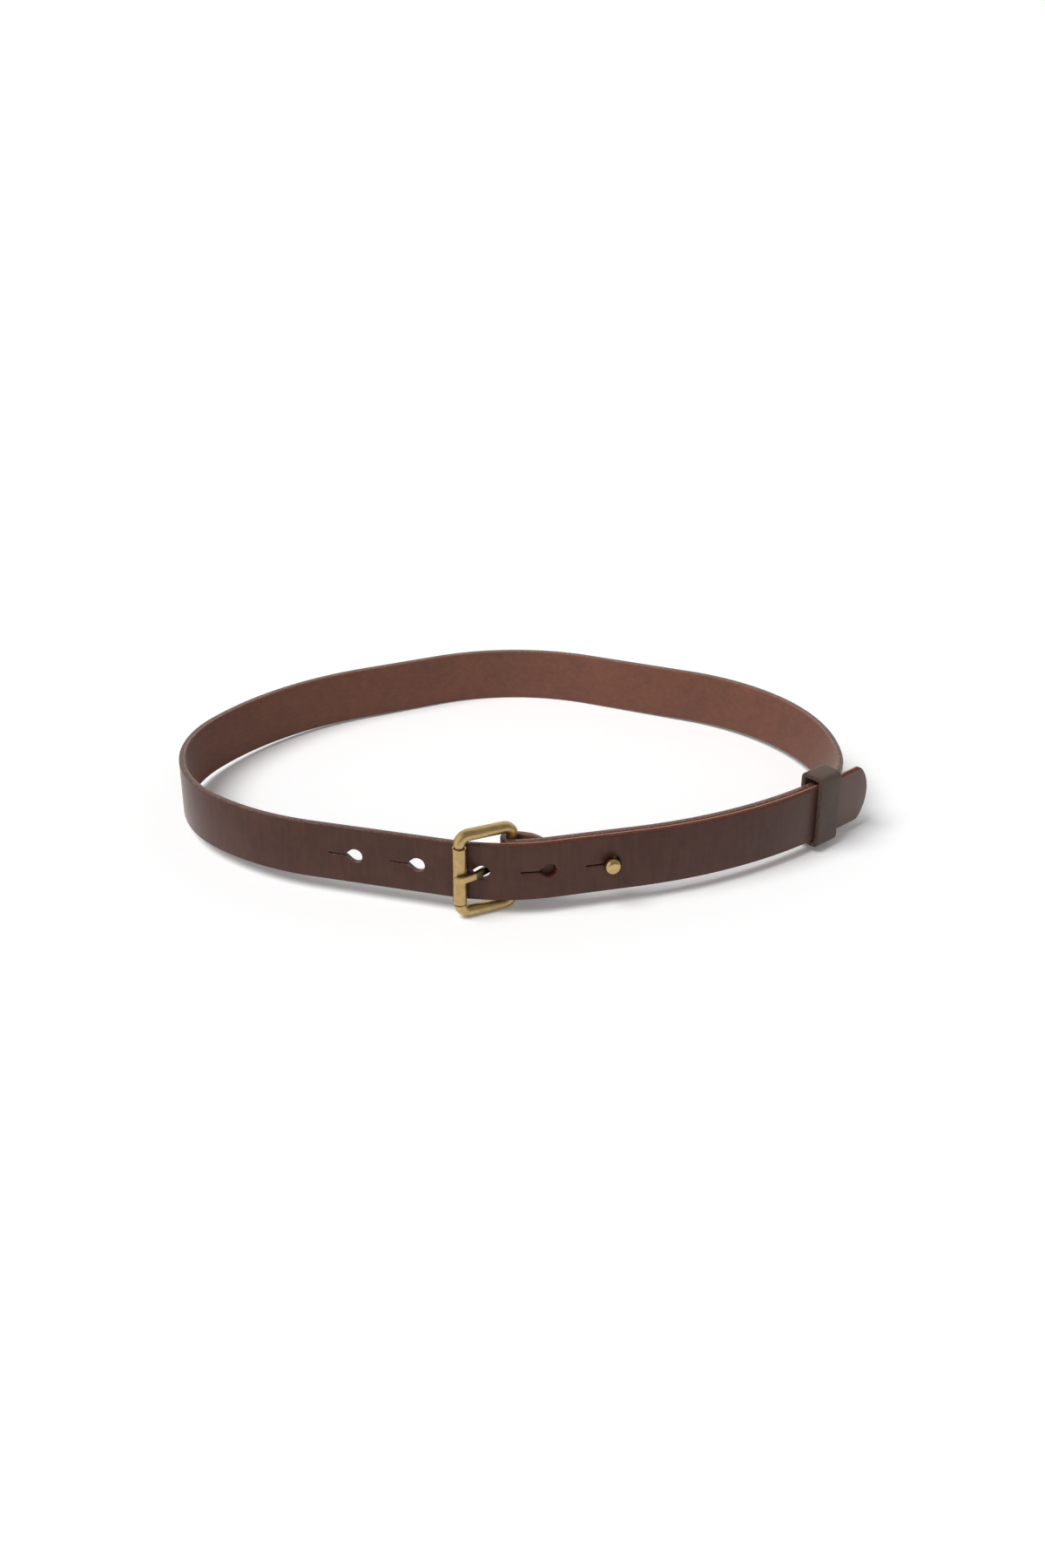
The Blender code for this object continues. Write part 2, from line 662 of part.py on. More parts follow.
def make_roller(bodies, pivot, brass):
    """A rolled tube, open along its seam."""
    outer, inner = ROLLER_DIAMETER / 2, ROLLER_DIAMETER / 2 - ROLLER_WALL
    half = degrees(ROLLER_SEAM / 2 / outer)
    points = arc_points(Vector((0.0, 0.0)), outer, half, 360.0 - half, 28)
    points += arc_points(Vector((0.0, 0.0)), inner, 360.0 - half, half, 28)
    mesh = weld(curve_mesh(flat_curve("roller", points, ROLLER_LENGTH, ROLLER_EDGE)))
    smooth(mesh, 40.0)
    place = Matrix.Translation((BUCKLE_REACH, 0.0, -ROLLER_DROP))
    return new_object("roller", mesh, bodies, pivot, brass, place)


def rounded(corners, radius, facets=5):
    """A plan line through corners, each turned with a radius."""
    points = [corners[0]]
    for before, corner, after in zip(corners, corners[1:], corners[2:]):
        come, go = (corner - before).normalized(), (after - corner).normalized()
        side = 1.0 if come.x * go.y - come.y * go.x > 0.0 else -1.0
        turn = degrees(come.angle(go))
        centre = corner - come * radius * tan(radians(turn / 2)) + left_of(come) * side * radius
        first = degrees(atan2(come.y, come.x)) - side * 90.0
        points += arc_points(centre, radius, first, first + side * turn, facets)
    return points


def prong_line(layout):
    """The middle of the prong from the cut end of its eye to its tip, and its thickness at each point."""
    line, eye = layout.line, prong_eye_radius()
    heading = line.at(layout.heel_lap)[1]
    points = arc_points(layout.heel, eye, heading - 90.0 + PRONG_EYE_TURN, heading - 90.0, 24)
    inward = layout.heel_inward - eye
    middle = layout.prong_lap + PRONG_SHIFT
    slope = tan(radians(PRONG_RAMP))
    into_hole = line.point(middle + inward / slope, inward)
    out_of_hole = line.point(middle - PRONG_RISE / slope, -PRONG_RISE)

    touch = ROLLER_DIAMETER / 2 + FIT_GAP + PRONG_THICKNESS / 2
    away = layout.roller - out_of_hole
    bearing = degrees(atan2(away.y, away.x) + asin(touch / away.length))
    meets = out_of_hole + unit(bearing) * sqrt(away.length_squared - touch * touch)
    points += rounded([points[-1], into_hole, out_of_hole, meets], PRONG_BEND_RADIUS)[1:]
    thickness = [PRONG_THICKNESS] * len(points)
    wrap = arc_points(layout.roller, touch, bearing + 90.0, bearing + 90.0 - PRONG_TIP_WRAP, 8)
    for index, point in enumerate(wrap):
        points.append(point)
        thickness.append(PRONG_THICKNESS + (PRONG_TIP_THICKNESS - PRONG_THICKNESS) * index / 8)
    return points, thickness


def make_prong(layout, bodies, place, ring, brass):
    """A strip bent to an eye at one end and cranked through the keyhole, seen from above as an outline."""
    points, thickness = prong_line(layout)
    near, far = [], []
    for index, (point, thick) in enumerate(zip(points, thickness)):
        before, after = points[max(index - 1, 0)], points[min(index + 1, len(points) - 1)]
        side = left_of((after - before).normalized()) * thick / 2
        near.append(point - side)
        far.append(point + side)
    frame = place.inverted()
    outline = [(frame @ Vector((*point, 0.0))).xy for point in near + far[::-1]]
    mesh = weld(curve_mesh(flat_curve("prong", outline, PRONG_WIDTH, PRONG_EDGE)))
    smooth(mesh, 40.0)
    return new_object("prong", mesh, bodies, ring, brass, place)


# ---- stud ----------------------------------------------------------------------------------------------
def turned_mesh(name, profile, steps=24):
    """A solid turned about Z from (radius, height) points that run down its outer side."""
    shape = bmesh.new()
    corners = [shape.verts.new((radius, 0.0, height)) for radius, height in profile]
    for before, after in zip(corners, corners[1:]):
        shape.edges.new((before, after))
    mesh = bpy.data.meshes.new(name)
    shape.to_mesh(mesh)
    shape.free()
    lathe = bpy.data.objects.new(name, mesh)
    bpy.context.scene.collection.objects.link(lathe)
    turn = lathe.modifiers.new("turn", "SCREW")
    turn.steps = turn.render_steps = steps
    turn.use_merge_vertices = True
    turn.merge_threshold = 0.00001
    turned = evaluated_mesh(lathe)
    bpy.data.objects.remove(lathe, do_unlink=True)
    turn_faces_out(turned)
    return turned


def stud_profile():
    """Down the outer side from the crown; heights are outward from the middle of the outer layer."""
    under = LEATHER / 2 + FIT_GAP
    head, crown, neck = STUD_HEAD_DIAMETER / 2, STUD_CROWN_DIAMETER / 2, STUD_NECK_DIAMETER / 2
    top = under + STUD_HEAD_HEIGHT
    belly = under + STUD_HEAD_HEIGHT * 0.42
    profile = [(0.0, top), (crown, top)]
    for step in range(1, 7):
        way = radians(90.0 * step / 6)
        profile.append((crown + (head - crown) * sin(way), belly + (top - belly) * cos(way)))
    for step in range(1, 5):
        way = radians(90.0 * step / 5)
        profile.append((neck + (head - neck) * cos(way), belly - (belly - under) * sin(way)))
    seat = -under - STUD_FLANGE_THICKNESS
    flange, bore = STUD_FLANGE_DIAMETER / 2, STUD_BORE_DIAMETER / 2
    profile += [(neck, under), (neck, -under), (flange, -under), (flange, seat), (neck, seat)]
    profile += [(neck, seat - STUD_BARREL_LENGTH), (bore, seat - STUD_BARREL_LENGTH)]
    floor = seat - STUD_BARREL_LENGTH + SCREW_SHANK_LENGTH
    return profile + [(bore, floor), (0.0, floor)]


def make_stud(bodies, place, ring, brass):
    mesh = turned_mesh("stud", stud_profile())
    smooth(mesh, 35.0)
    return new_object("stud", mesh, bodies, ring, brass, place)


def make_stud_screw(layout, bodies, cutters, place, ring, brass):
    """A slotted screw that closes the stud from the flesh side."""
    lap = layout.stud_lap
    seat = -layout.flap_inward(lap) - layout.flap_thickness(lap) / 2 - FIT_GAP
    end = seat - SCREW_HEAD_HEIGHT
    head, shank = SCREW_HEAD_DIAMETER / 2, SCREW_SHANK_DIAMETER / 2
    barrel_end = -LEATHER / 2 - FIT_GAP - STUD_FLANGE_THICKNESS - STUD_BARREL_LENGTH
    reach = barrel_end + SCREW_SHANK_LENGTH - FIT_GAP
    edge = SCREW_HEAD_HEIGHT * 0.35
    profile = [(0.0, reach), (shank, reach), (shank, seat), (head, seat), (head, end + edge)]
    profile += [(head - edge * 0.3, end + edge * 0.3), (head - edge, end), (0.0, end)]
    screw = cutter("screw_blank", turned_mesh("stud_screw", profile), cutters, Matrix())
    bpy.ops.mesh.primitive_cube_add(size=1.0, location=(0.0, 0.0, end))
    slot = bpy.context.object
    slot.name = "screw_slot"
    slot.scale = (SCREW_HEAD_DIAMETER * 1.2, SCREW_SLOT_WIDTH, SCREW_SLOT_DEPTH * 2)
    mesh = punch(screw, [slot])
    mesh.name = "stud_screw"
    smooth(mesh, 35.0)
    return new_object("stud_screw", mesh, bodies, ring, brass, place)


# ---- keeper --------------------------------------------------------------------------------------------
def keeper_loop(half_width, top, bottom, radius):
    """Once round the keeper's section, counted from the middle of its inner side."""
    corners = ((half_width - radius, top - radius, 0.0), (radius - half_width, top - radius, 90.0),
               (radius - half_width, bottom + radius, 180.0), (half_width - radius, bottom + radius, 270.0))
    points = []
    for x, y, first in corners:
        points += arc_points(Vector((x, y)), radius, first, first + 90.0, 5)
    return points


def make_keeper(layout, bodies, place, pivot, pivot_place, leather):
    """A loop of leather with its butted ends on the inner side, where a shallow groove shows the joint."""
    half = LEATHER + LAY_GAP / 2 + KEEPER_SLACK
    top, bottom = STRAP_WIDTH + KEEPER_HEADROOM, -KEEPER_FOOTROOM
    inner_radius = max(KEEPER_CORNER_RADIUS - KEEPER_LEATHER, 0.0004)
    face = half + KEEPER_LEATHER
    outer = keeper_loop(face, top + KEEPER_LEATHER, bottom - KEEPER_LEATHER, KEEPER_CORNER_RADIUS)
    middle = STRAP_WIDTH / 2
    groove = [Vector((face, middle - KEEPER_SEAM_WIDTH / 2)), Vector((face - KEEPER_SEAM_DEPTH, middle)),
              Vector((face, middle + KEEPER_SEAM_WIDTH / 2))]
    curve = flat_curve("keeper", groove + outer, KEEPER_WIDTH, KEEPER_EDGE)
    add_spline(curve, keeper_loop(half, top, bottom, inner_radius))
    mesh = weld(curve_mesh(curve))
    smooth(mesh, 40.0)
    return new_object("keeper", mesh, bodies, pivot, leather, pivot_place.inverted() @ place)


# ---- assembly ------------------------------------------------------------------------------------------
def upright(place, direction, height=0.0):
    """Local X along a plan direction, Y to its left and Z up."""
    side = left_of(direction)
    return Matrix((
        (direction.x, side.x, 0.0, place.x),
        (direction.y, side.y, 0.0, place.y),
        (0.0, 0.0, 1.0, height),
        (0.0, 0.0, 0.0, 1.0)))


def facing(place, heading, height, outward):
    """Local Y up. Local Z looks outward from the waist line, or along it."""
    along, inward = unit(heading), left_of(unit(heading))
    x, z = (along, -inward) if outward else (inward, along)
    return Matrix((
        (x.x, 0.0, z.x, place.x),
        (x.y, 0.0, z.y, place.y),
        (0.0, 1.0, 0.0, height),
        (0.0, 0.0, 0.0, 1.0)))


def stand(ring, layout, bodies):
    """Tip the belt until the buckle and the back of the strap both reach the ground, and centre it there."""
    drop = BAR_DIAMETER + BUCKLE_CLEARANCE / 2 - BUCKLE_LIFT
    rear = max(place.y for place, _ in layout.stations()[0])
    ring.rotation_euler.x = -atan2(drop, rear - layout.heel.y)
    bpy.context.view_layer.update()
    corners = [item.matrix_world @ vertex.co for item in bodies.objects for vertex in item.data.vertices]
    low = [min(corner[axis] for corner in corners) for axis in range(3)]
    high = [max(corner[axis] for corner in corners) for axis in range(3)]
    ring.location = (-(low[0] + high[0]) / 2, -(low[1] + high[1]) / 2, -low[2])


def build_belt():
    clear_scene()
    bodies = new_collection("leather_belt")
    joints = new_collection("joints")
    cutters = new_collection("cutters")
    strap_leather = new_material("strap_leather", (0.080, 0.045, 0.035), 0.62, 0.0)
    keeper_leather = new_material("keeper_leather", (0.076, 0.062, 0.052), 0.66, 0.0)
    brass = new_material("antique_brass", (0.560, 0.420, 0.215), 0.34, 1.0)

    layout = Layout(WaistLine())
    ring = new_empty("ring", joints, None, Matrix())
    make_strap(layout, bodies, cutters, ring, strap_leather)

    pivot = new_empty("heel_axis", joints, ring, upright(
        layout.heel, (layout.roller - layout.heel).normalized(), layout.buckle_middle))
    make_frame(bodies, pivot, brass)
    make_roller(bodies, pivot, brass)
    heading = layout.line.at(layout.heel_lap)[1]
    on_heel = upright(layout.heel, unit(heading), layout.buckle_middle - PRONG_DROP)
    make_prong(layout, bodies, on_heel, ring, brass)

    place, heading = layout.line.at(layout.stud_lap)
    on_stud = facing(place, heading, layout.middle, True)
    make_stud(bodies, on_stud, ring, brass)
    make_stud_screw(layout, bodies, cutters, on_stud, ring, brass)

    lap = layout.keeper_lap
    heading = layout.line.at(lap)[1]
    middle = layout.line.point(lap, (LEATHER + LAY_GAP) / 2)
    on_keeper = facing(middle, heading, 0.0, False)
    pivot_place = upright(layout.line.overlap_centre(), unit(heading))
    slide = new_empty("keeper_axis", joints, ring, pivot_place)
    make_keeper(layout, bodies, on_keeper, slide, pivot_place, keeper_leather)
    stand(ring, layout, bodies)


build_belt()
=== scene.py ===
"""The looks of a buckled leather belt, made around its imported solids.

The strap, the keeper and the brass are rebuilt at full fineness where the solids are, with leather and brass
finishes made of shader nodes. Lengths are metres and angles are degrees.
"""

import json
import logging
from bisect import bisect_right
from collections.abc import Iterator
from contextlib import contextmanager
from dataclasses import dataclass, field
from enum import Enum
from math import asin, atan2, ceil, cos, degrees, pi, radians, sin, sqrt, tan

import bmesh
import bpy
from mathutils import Matrix, Vector

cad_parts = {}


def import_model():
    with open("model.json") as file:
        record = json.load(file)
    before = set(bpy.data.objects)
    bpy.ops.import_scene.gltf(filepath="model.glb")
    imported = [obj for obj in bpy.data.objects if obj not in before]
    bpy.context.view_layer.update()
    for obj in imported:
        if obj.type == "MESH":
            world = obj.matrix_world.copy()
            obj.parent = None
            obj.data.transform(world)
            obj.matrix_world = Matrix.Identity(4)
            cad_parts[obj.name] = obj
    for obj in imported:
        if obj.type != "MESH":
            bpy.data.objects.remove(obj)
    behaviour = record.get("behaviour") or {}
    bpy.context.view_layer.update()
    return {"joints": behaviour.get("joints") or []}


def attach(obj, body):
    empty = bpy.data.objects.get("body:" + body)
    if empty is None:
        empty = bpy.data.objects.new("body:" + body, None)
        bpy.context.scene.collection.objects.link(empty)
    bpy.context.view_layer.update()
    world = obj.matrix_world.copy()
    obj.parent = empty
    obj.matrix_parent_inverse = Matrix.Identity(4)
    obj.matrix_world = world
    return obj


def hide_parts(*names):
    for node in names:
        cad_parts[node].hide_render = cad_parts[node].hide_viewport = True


LOG = logging.getLogger("belt")
FIT_GAP = 0.0003
MERGE = 0.000002
Colour = tuple[float, float, float]


class Body(Enum):
    """The bodies of the belt that pieces ride on."""

    BELT = "belt"
    BUCKLE = "buckle"
    ROLLER = "roller"
    PRONG = "prong"
    KEEPER = "keeper"


class Slot(Enum):
    """The record's material slots."""

    STRAP = "strap_leather"
    KEEPER = "keeper_leather"
    BRASS = "antique_brass"


# ---- plan geometry -------------------------------------------------------------------------------------
def unit(heading: float) -> Vector:
    """The plan direction of a heading in degrees."""
    return Vector((cos(radians(heading)), sin(radians(heading))))


def left_of(direction: Vector) -> Vector:
    """The plan direction a quarter turn to the left."""
    return Vector((-direction.y, direction.x))


def ease(share: float) -> float:
    """0 to 1 with a level start and end."""
    share = min(max(share, 0.0), 1.0)
    return share * share * (3.0 - 2.0 * share)


def arc_points(centre: Vector, radius: float, first: float, last: float, count: int) -> list[Vector]:
    """Points along an arc.

    Args:
        centre: the arc's plan centre.
        radius: its radius.
        first: the position angle where it starts.
        last: the position angle where it ends.
        count: how many chords it has.

    Returns:
        The count + 1 points from first to last.
    """
    return [centre + unit(first + (last - first) * step / count) * radius for step in range(count + 1)]


def rounded(corners: list[Vector], radius: float, facets: int = 10) -> list[Vector]:
    """A plan line through corners, each turned with a radius.

    Args:
        corners: the line's ends and corners.
        radius: the radius of every turn.
        facets: chords in each turn.

    Returns:
        The points of the line, without its last corner.
    """
    points = [corners[0]]
    for before, corner, after in zip(corners, corners[1:], corners[2:]):
        come, go = (corner - before).normalized(), (after - corner).normalized()
        side = 1.0 if come.x * go.y - come.y * go.x > 0.0 else -1.0
        turn = degrees(come.angle(go))
        centre = corner - come * radius * tan(radians(turn / 2)) + left_of(come) * side * radius
        first = degrees(atan2(come.y, come.x)) - side * 90.0
        points += arc_points(centre, radius, first, first + side * turn, facets)
    return points


def round_box(half: float, bottom: float, top: float, radius: float, facets: int) -> list[Vector]:
    """A rectangle with round corners, anticlockwise from its right side.

    Args:
        half: half its width.
        bottom: how high its lower side lies.
        top: how high its upper side lies.
        radius: the radius of its corners.
        facets: chords in each corner.

    Returns:
        The closed outline.
    """
    points = []
    for x, y, first in ((half - radius, top - radius, 0.0), (radius - half, top - radius, 90.0),
                        (radius - half, bottom + radius, 180.0), (half - radius, bottom + radius, 270.0)):
        points += arc_points(Vector((x, y)), radius, first, first + 90.0, facets)
    return points


def upright(place: Vector, direction: Vector, height: float) -> Matrix:
    """Local X along a plan direction, local Y to its left and local Z up.

    Args:
        place: the plan place of the frame.
        direction: the plan direction.
        height: how high the frame lies.

    Returns:
        The frame.
    """
    side = left_of(direction)
    return Matrix(((direction.x, side.x, 0.0, place.x), (direction.y, side.y, 0.0, place.y),
                   (0.0, 0.0, 1.0, height), (0.0, 0.0, 0.0, 1.0)))


def facing(place: Vector, heading: float, height: float, outward: bool) -> Matrix:
    """Local Y up, and local Z outward from the waist line or along it.

    Args:
        place: the plan place of the frame.
        heading: the line's heading there, in degrees.
        height: how high the frame lies.
        outward: whether local Z looks outward.

    Returns:
        The frame.
    """
    along, inward = unit(heading), left_of(unit(heading))
    x, z = (along, -inward) if outward else (inward, along)
    return Matrix(((x.x, 0.0, z.x, place.x), (x.y, 0.0, z.y, place.y),
                   (0.0, 1.0, 0.0, height), (0.0, 0.0, 0.0, 1.0)))


@dataclass
class WaistLine:
    """The closed plan line that the outer layer follows, as runs and arcs from the crown at the front."""

    crown_radius: float = 0.097
    crown_end: float = 14.2
    front_right_run: float = 0.042
    overlap_radius: float = 0.235
    overlap_end_heading: float = 42.0
    right_end: tuple[float, float] = (0.0372, 86.6)
    right_back: tuple[float, float] = (0.1155, 157.6)
    back: tuple[float, float] = (0.1134, 203.8)
    left_back: tuple[float, float] = (0.163, 240.5)
    left_end: tuple[float, float] = (0.0723, 317.4)
    left_front: tuple[float, float] = (0.1294, 344.2)
    front_left_run: float = 0.070
    station_turn: float = 1.5
    station_length: float = 0.005
    station_least: float = 0.0008
    stretches: list = field(default_factory=list)
    length: float = 0.0

    def __post_init__(self) -> None:
        """Lay the stretches end to end and close the line with its two back runs."""
        arcs = [
            (self.crown_radius, 0.0, self.crown_end),
            (self.front_right_run, self.crown_end, self.crown_end),
            (self.overlap_radius, self.crown_end, self.overlap_end_heading),
        ]
        heading = self.overlap_end_heading
        for radius, end in (self.right_end, self.right_back, self.back, self.left_back, self.left_end,
                            self.left_front):
            arcs.append((radius, heading, end))
            heading = end
            if end in (self.right_back[1], self.back[1]):
                arcs.append((0.0, heading, heading))
        arcs += [(self.front_left_run, heading, heading), (self.crown_radius, heading, 360.0)]
        self.close(arcs)
        place, start = Vector((0.0, 0.0)), 0.0
        for arc in arcs:
            size, first, last = arc
            length = size * radians(last - first) if last != first else size
            self.stretches.append((start, length, place.copy(), arc))
            place += self.chord(arc)
            start += length
        self.length = start

    def close(self, arcs: list) -> None:
        """Give the two empty back runs the lengths that close the line.

        Args:
            arcs: the line's stretches, changed in place.
        """
        gap = sum((self.chord(arc) for arc in arcs), Vector((0.0, 0.0)))
        one, other = [index for index, arc in enumerate(arcs) if arc[0] == 0.0]
        right, left = unit(arcs[one][1]), unit(arcs[other][1])
        cross = right.x * left.y - right.y * left.x
        arcs[one] = ((gap.y * left.x - gap.x * left.y) / cross, *arcs[one][1:])
        arcs[other] = ((gap.x * right.y - gap.y * right.x) / cross, *arcs[other][1:])

    @staticmethod
    def chord(arc: tuple[float, float, float]) -> Vector:
        """The plan step from one end of a stretch to the other.

        Args:
            arc: its radius, or its length where it is straight, and its headings at both ends.

        Returns:
            The step.
        """
        size, first, last = arc
        if last == first:
            return unit(first) * size
        return (left_of(unit(first)) - left_of(unit(last))) * size

    @property
    def overlap_end(self) -> float:
        """The distance along the line where the two layers part."""
        return self.stretches[3][0]

    def at(self, lap: float) -> tuple[Vector, float]:
        """The point and heading at a distance along the line.

        Args:
            lap: the distance from the crown, of any number of laps.

        Returns:
            The plan point and the heading in degrees.
        """
        lap %= self.length
        for start, _, place, (size, first, last) in reversed(self.stretches):
            if lap >= start:
                break
        if last == first:
            return place + unit(first) * (lap - start), first
        here = first + degrees((lap - start) / size)
        return place + (left_of(unit(first)) - left_of(unit(here))) * size, here

    def point(self, lap: float, inward: float) -> Vector:
        """The point at a distance along the line and a distance inward from it."""
        place, heading = self.at(lap)
        return place + left_of(unit(heading)) * inward

    def breaks(self, first: float, last: float) -> list[float]:
        """Distances that cut the line between two places into short, evenly turned lengths.

        Args:
            first: the distance of the first place.
            last: the distance of the last.

        Returns:
            The distances, with both places.
        """
        cuts = [first]
        for turn in range(-1, 3):
            for start, length, _, (_, heading, heading_end) in self.stretches:
                count = max(ceil(length / self.station_length),
                            ceil((heading_end - heading) / self.station_turn))
                for step in range(count):
                    cut = turn * self.length + start + length * step / count
                    if first + self.station_least < cut < last - self.station_least:
                        cuts.append(cut)
        return cuts + [last]


@dataclass
class Layout:
    """Where the strap, the buckle, the stud and the keeper lie on the waist line."""

    line: WaistLine = field(default_factory=WaistLine)
    strap_width: float = 0.030
    leather: float = 0.0034
    fold_leather: float = 0.0030
    flap_end_leather: float = 0.0014
    flap_length: float = 0.054
    skive: float = 0.020
    lay_gap: float = 0.0002
    landing: float = 0.110
    hole_pitch: float = 0.03175
    prong_hole: int = 3
    prong_hole_to_heel: float = 0.01435
    stud_from_hole: float = 0.0015
    tip_beyond_first_hole: float = 0.157
    keeper_from_tip: float = 0.035
    crown_to_heel: float = 0.0039
    heel_radius: float = 0.0025
    roller_radius: float = 0.00335
    reach: float = 0.0271
    buckle_lift: float = 0.0002
    prong_drop: float = 0.0004

    def __post_init__(self) -> None:
        """Work out the distances along the line and the buckle's two axes."""
        self.heel_lap = self.crown_to_heel
        self.prong_lap = self.heel_lap - self.prong_hole_to_heel
        first_hole_lap = self.prong_lap + (self.prong_hole - 1) * self.hole_pitch
        self.stud_lap = first_hole_lap - self.stud_from_hole
        self.tip_lap = first_hole_lap + self.tip_beyond_first_hole
        self.keeper_lap = self.tip_lap - self.keeper_from_tip
        self.flap_lap = self.heel_lap + self.flap_length
        self.fold_radius = self.heel_radius + FIT_GAP + self.fold_leather / 2
        self.heel_inward = self.leather / 2 + self.lay_gap + self.fold_leather + FIT_GAP + self.heel_radius
        self.heel = self.line.point(self.heel_lap, self.heel_inward)
        self.roller = self.find_roller()
        self.middle = self.strap_width / 2
        self.buckle_middle = self.middle + self.buckle_lift

    def find_roller(self) -> Vector:
        """The roller's axis: on the outer face at the buckle's reach from the heel, found by halving.

        Returns:
            The plan point.
        """
        near, far = self.heel_lap - self.reach / 2, self.heel_lap - self.reach * 2
        outward = self.leather / 2 + FIT_GAP + self.roller_radius
        place = self.heel
        for _ in range(60):
            lap = (near + far) / 2
            place = self.line.point(lap, -outward)
            if (place - self.heel).length < self.reach:
                near = lap
            else:
                far = lap
        return place

    def main_thickness(self, lap: float) -> float:
        """The thickness of the layer that starts at the fold."""
        share = ease((lap - self.heel_lap) / self.skive)
        return self.fold_leather + (self.leather - self.fold_leather) * share

    def main_inward(self, lap: float) -> float:
        """How far inward the middle of that layer lies."""
        inward = self.leather / 2 + self.lay_gap + self.main_thickness(lap) / 2
        return inward * (1.0 - ease((lap - self.line.overlap_end) / self.landing))

    def flap_thickness(self, lap: float) -> float:
        """The thickness of the turned-in flap, skived towards its end."""
        return self.fold_leather + (self.flap_end_leather - self.fold_leather) * (
            lap - self.heel_lap) / self.flap_length

    def flap_inward(self, lap: float) -> float:
        """How far inward the flap lies: it leaves the bar and closes on the main layer.

        Args:
            lap: the distance along the waist line.

        Returns:
            The distance inward from the waist line.
        """
        main = self.main_inward(lap) + self.main_thickness(lap) / 2
        lying = main + self.lay_gap + self.flap_thickness(lap) / 2
        close = ease((lap - self.heel_lap) / self.skive)
        return (self.heel_inward + self.fold_radius) * (1.0 - close) + lying * close


@dataclass
class Course:
    """The strap's way from the end of the flap to the tip, as stations with a place and a thickness."""

    layout: Layout
    fold_stations: int = 36

    def __post_init__(self) -> None:
        """Set out the stations and measure along them."""
        layout, line = self.layout, self.layout.line
        course = [(line.point(lap, layout.flap_inward(lap)), layout.flap_thickness(lap))
                  for lap in reversed(line.breaks(layout.heel_lap, layout.flap_lap))]
        fold = len(course) - 1 + self.fold_stations // 2
        inward = line.at(layout.heel_lap)[1] + 90.0
        for step in range(1, self.fold_stations):
            swing = unit(inward + 180.0 * step / self.fold_stations)
            course.append((layout.heel + swing * layout.fold_radius, layout.fold_leather))
        full = line.length + layout.prong_lap
        for lap in line.breaks(layout.heel_lap, full):
            course.append((line.point(lap, layout.main_inward(lap)), layout.main_thickness(lap)))
        to_prong = len(course) - 1
        bend = line.length + line.overlap_end
        course += [(line.point(lap, 0.0), layout.leather) for lap in line.breaks(full, bend)[1:]]
        place, heading = line.at(bend)
        tip = layout.tip_lap - line.overlap_end
        count = ceil(tip / line.station_length)
        course += [(place + unit(heading) * tip * step / count, layout.leather)
                   for step in range(1, count + 1)]
        self.places = [station[0] for station in course]
        self.thickness = [station[1] for station in course]
        self.along = [0.0]
        for before, after in zip(self.places, self.places[1:]):
            self.along.append(self.along[-1] + (after - before).length)
        self.length = self.along[-1]
        self.across = []
        for index in range(len(self.places)):
            before, after = self.places[max(index - 1, 0)], self.places[min(index + 1, len(self.places) - 1)]
            self.across.append(left_of((after - before).normalized()))
        self.fold_at = self.along[fold]
        self.prong_at = self.along[to_prong]
        self.first_hole_at = self.prong_at + (layout.prong_hole - 1) * layout.hole_pitch
        on_main = line.point(layout.stud_lap, layout.main_inward(layout.stud_lap))
        on_flap = line.point(layout.stud_lap, layout.flap_inward(layout.stud_lap))
        self.main_stud_at = self.nearest(on_main, fold + self.fold_stations // 2, to_prong)
        self.flap_stud_at = self.nearest(on_flap, 0, fold - self.fold_stations // 2)

    def place(self, distance: float, flesh: float) -> Vector:
        """The plan place of a point of the blank.

        Args:
            distance: along the blank from the end of the flap.
            flesh: from -1 at the outer face to 1 at the flesh side.

        Returns:
            The point in plan.
        """
        index = min(max(bisect_right(self.along, distance) - 1, 0), len(self.along) - 2)
        share = (distance - self.along[index]) / (self.along[index + 1] - self.along[index])
        near = self.places[index] + self.across[index] * flesh * self.thickness[index] / 2
        far = self.places[index + 1] + self.across[index + 1] * flesh * self.thickness[index + 1] / 2
        return near.lerp(far, share)

    def nearest(self, target: Vector, first: int, last: int) -> float:
        """The distance along the blank that comes nearest a plan point.

        Args:
            target: the plan point.
            first: the station where the search starts.
            last: the station where it ends.

        Returns:
            The distance from the end of the flap.
        """
        gaps = []
        for index in range(first, last):
            near, far = self.places[index], self.places[index + 1]
            step = far - near
            share = min(max((target - near).dot(step) / step.length_squared, 0.0), 1.0)
            gaps.append(((near + step * share - target).length, self.along[index] + step.length * share))
        return min(gaps)[1]


# ---- mesh tools ----------------------------------------------------------------------------------------
def link(item: bpy.types.Object) -> bpy.types.Object:
    """Put an object in the scene."""
    bpy.context.scene.collection.objects.link(item)
    return item


def evaluated_mesh(item: bpy.types.Object) -> bpy.types.Mesh:
    """The mesh of an object with its modifiers or its curve worked out.

    Args:
        item: the object, which is in the scene.

    Returns:
        A mesh of its own.
    """
    bpy.context.view_layer.update()
    graph = bpy.context.evaluated_depsgraph_get()
    return bpy.data.meshes.new_from_object(item.evaluated_get(graph), preserve_all_data_layers=True,
                                           depsgraph=graph)


@contextmanager
def reshaped(mesh: bpy.types.Mesh) -> Iterator[bmesh.types.BMesh]:
    """Open a mesh to be edited and write it back.

    Args:
        mesh: the mesh.

    Yields:
        Its editable form.
    """
    shape = bmesh.new()
    shape.from_mesh(mesh)
    yield shape
    shape.to_mesh(mesh)
    shape.free()


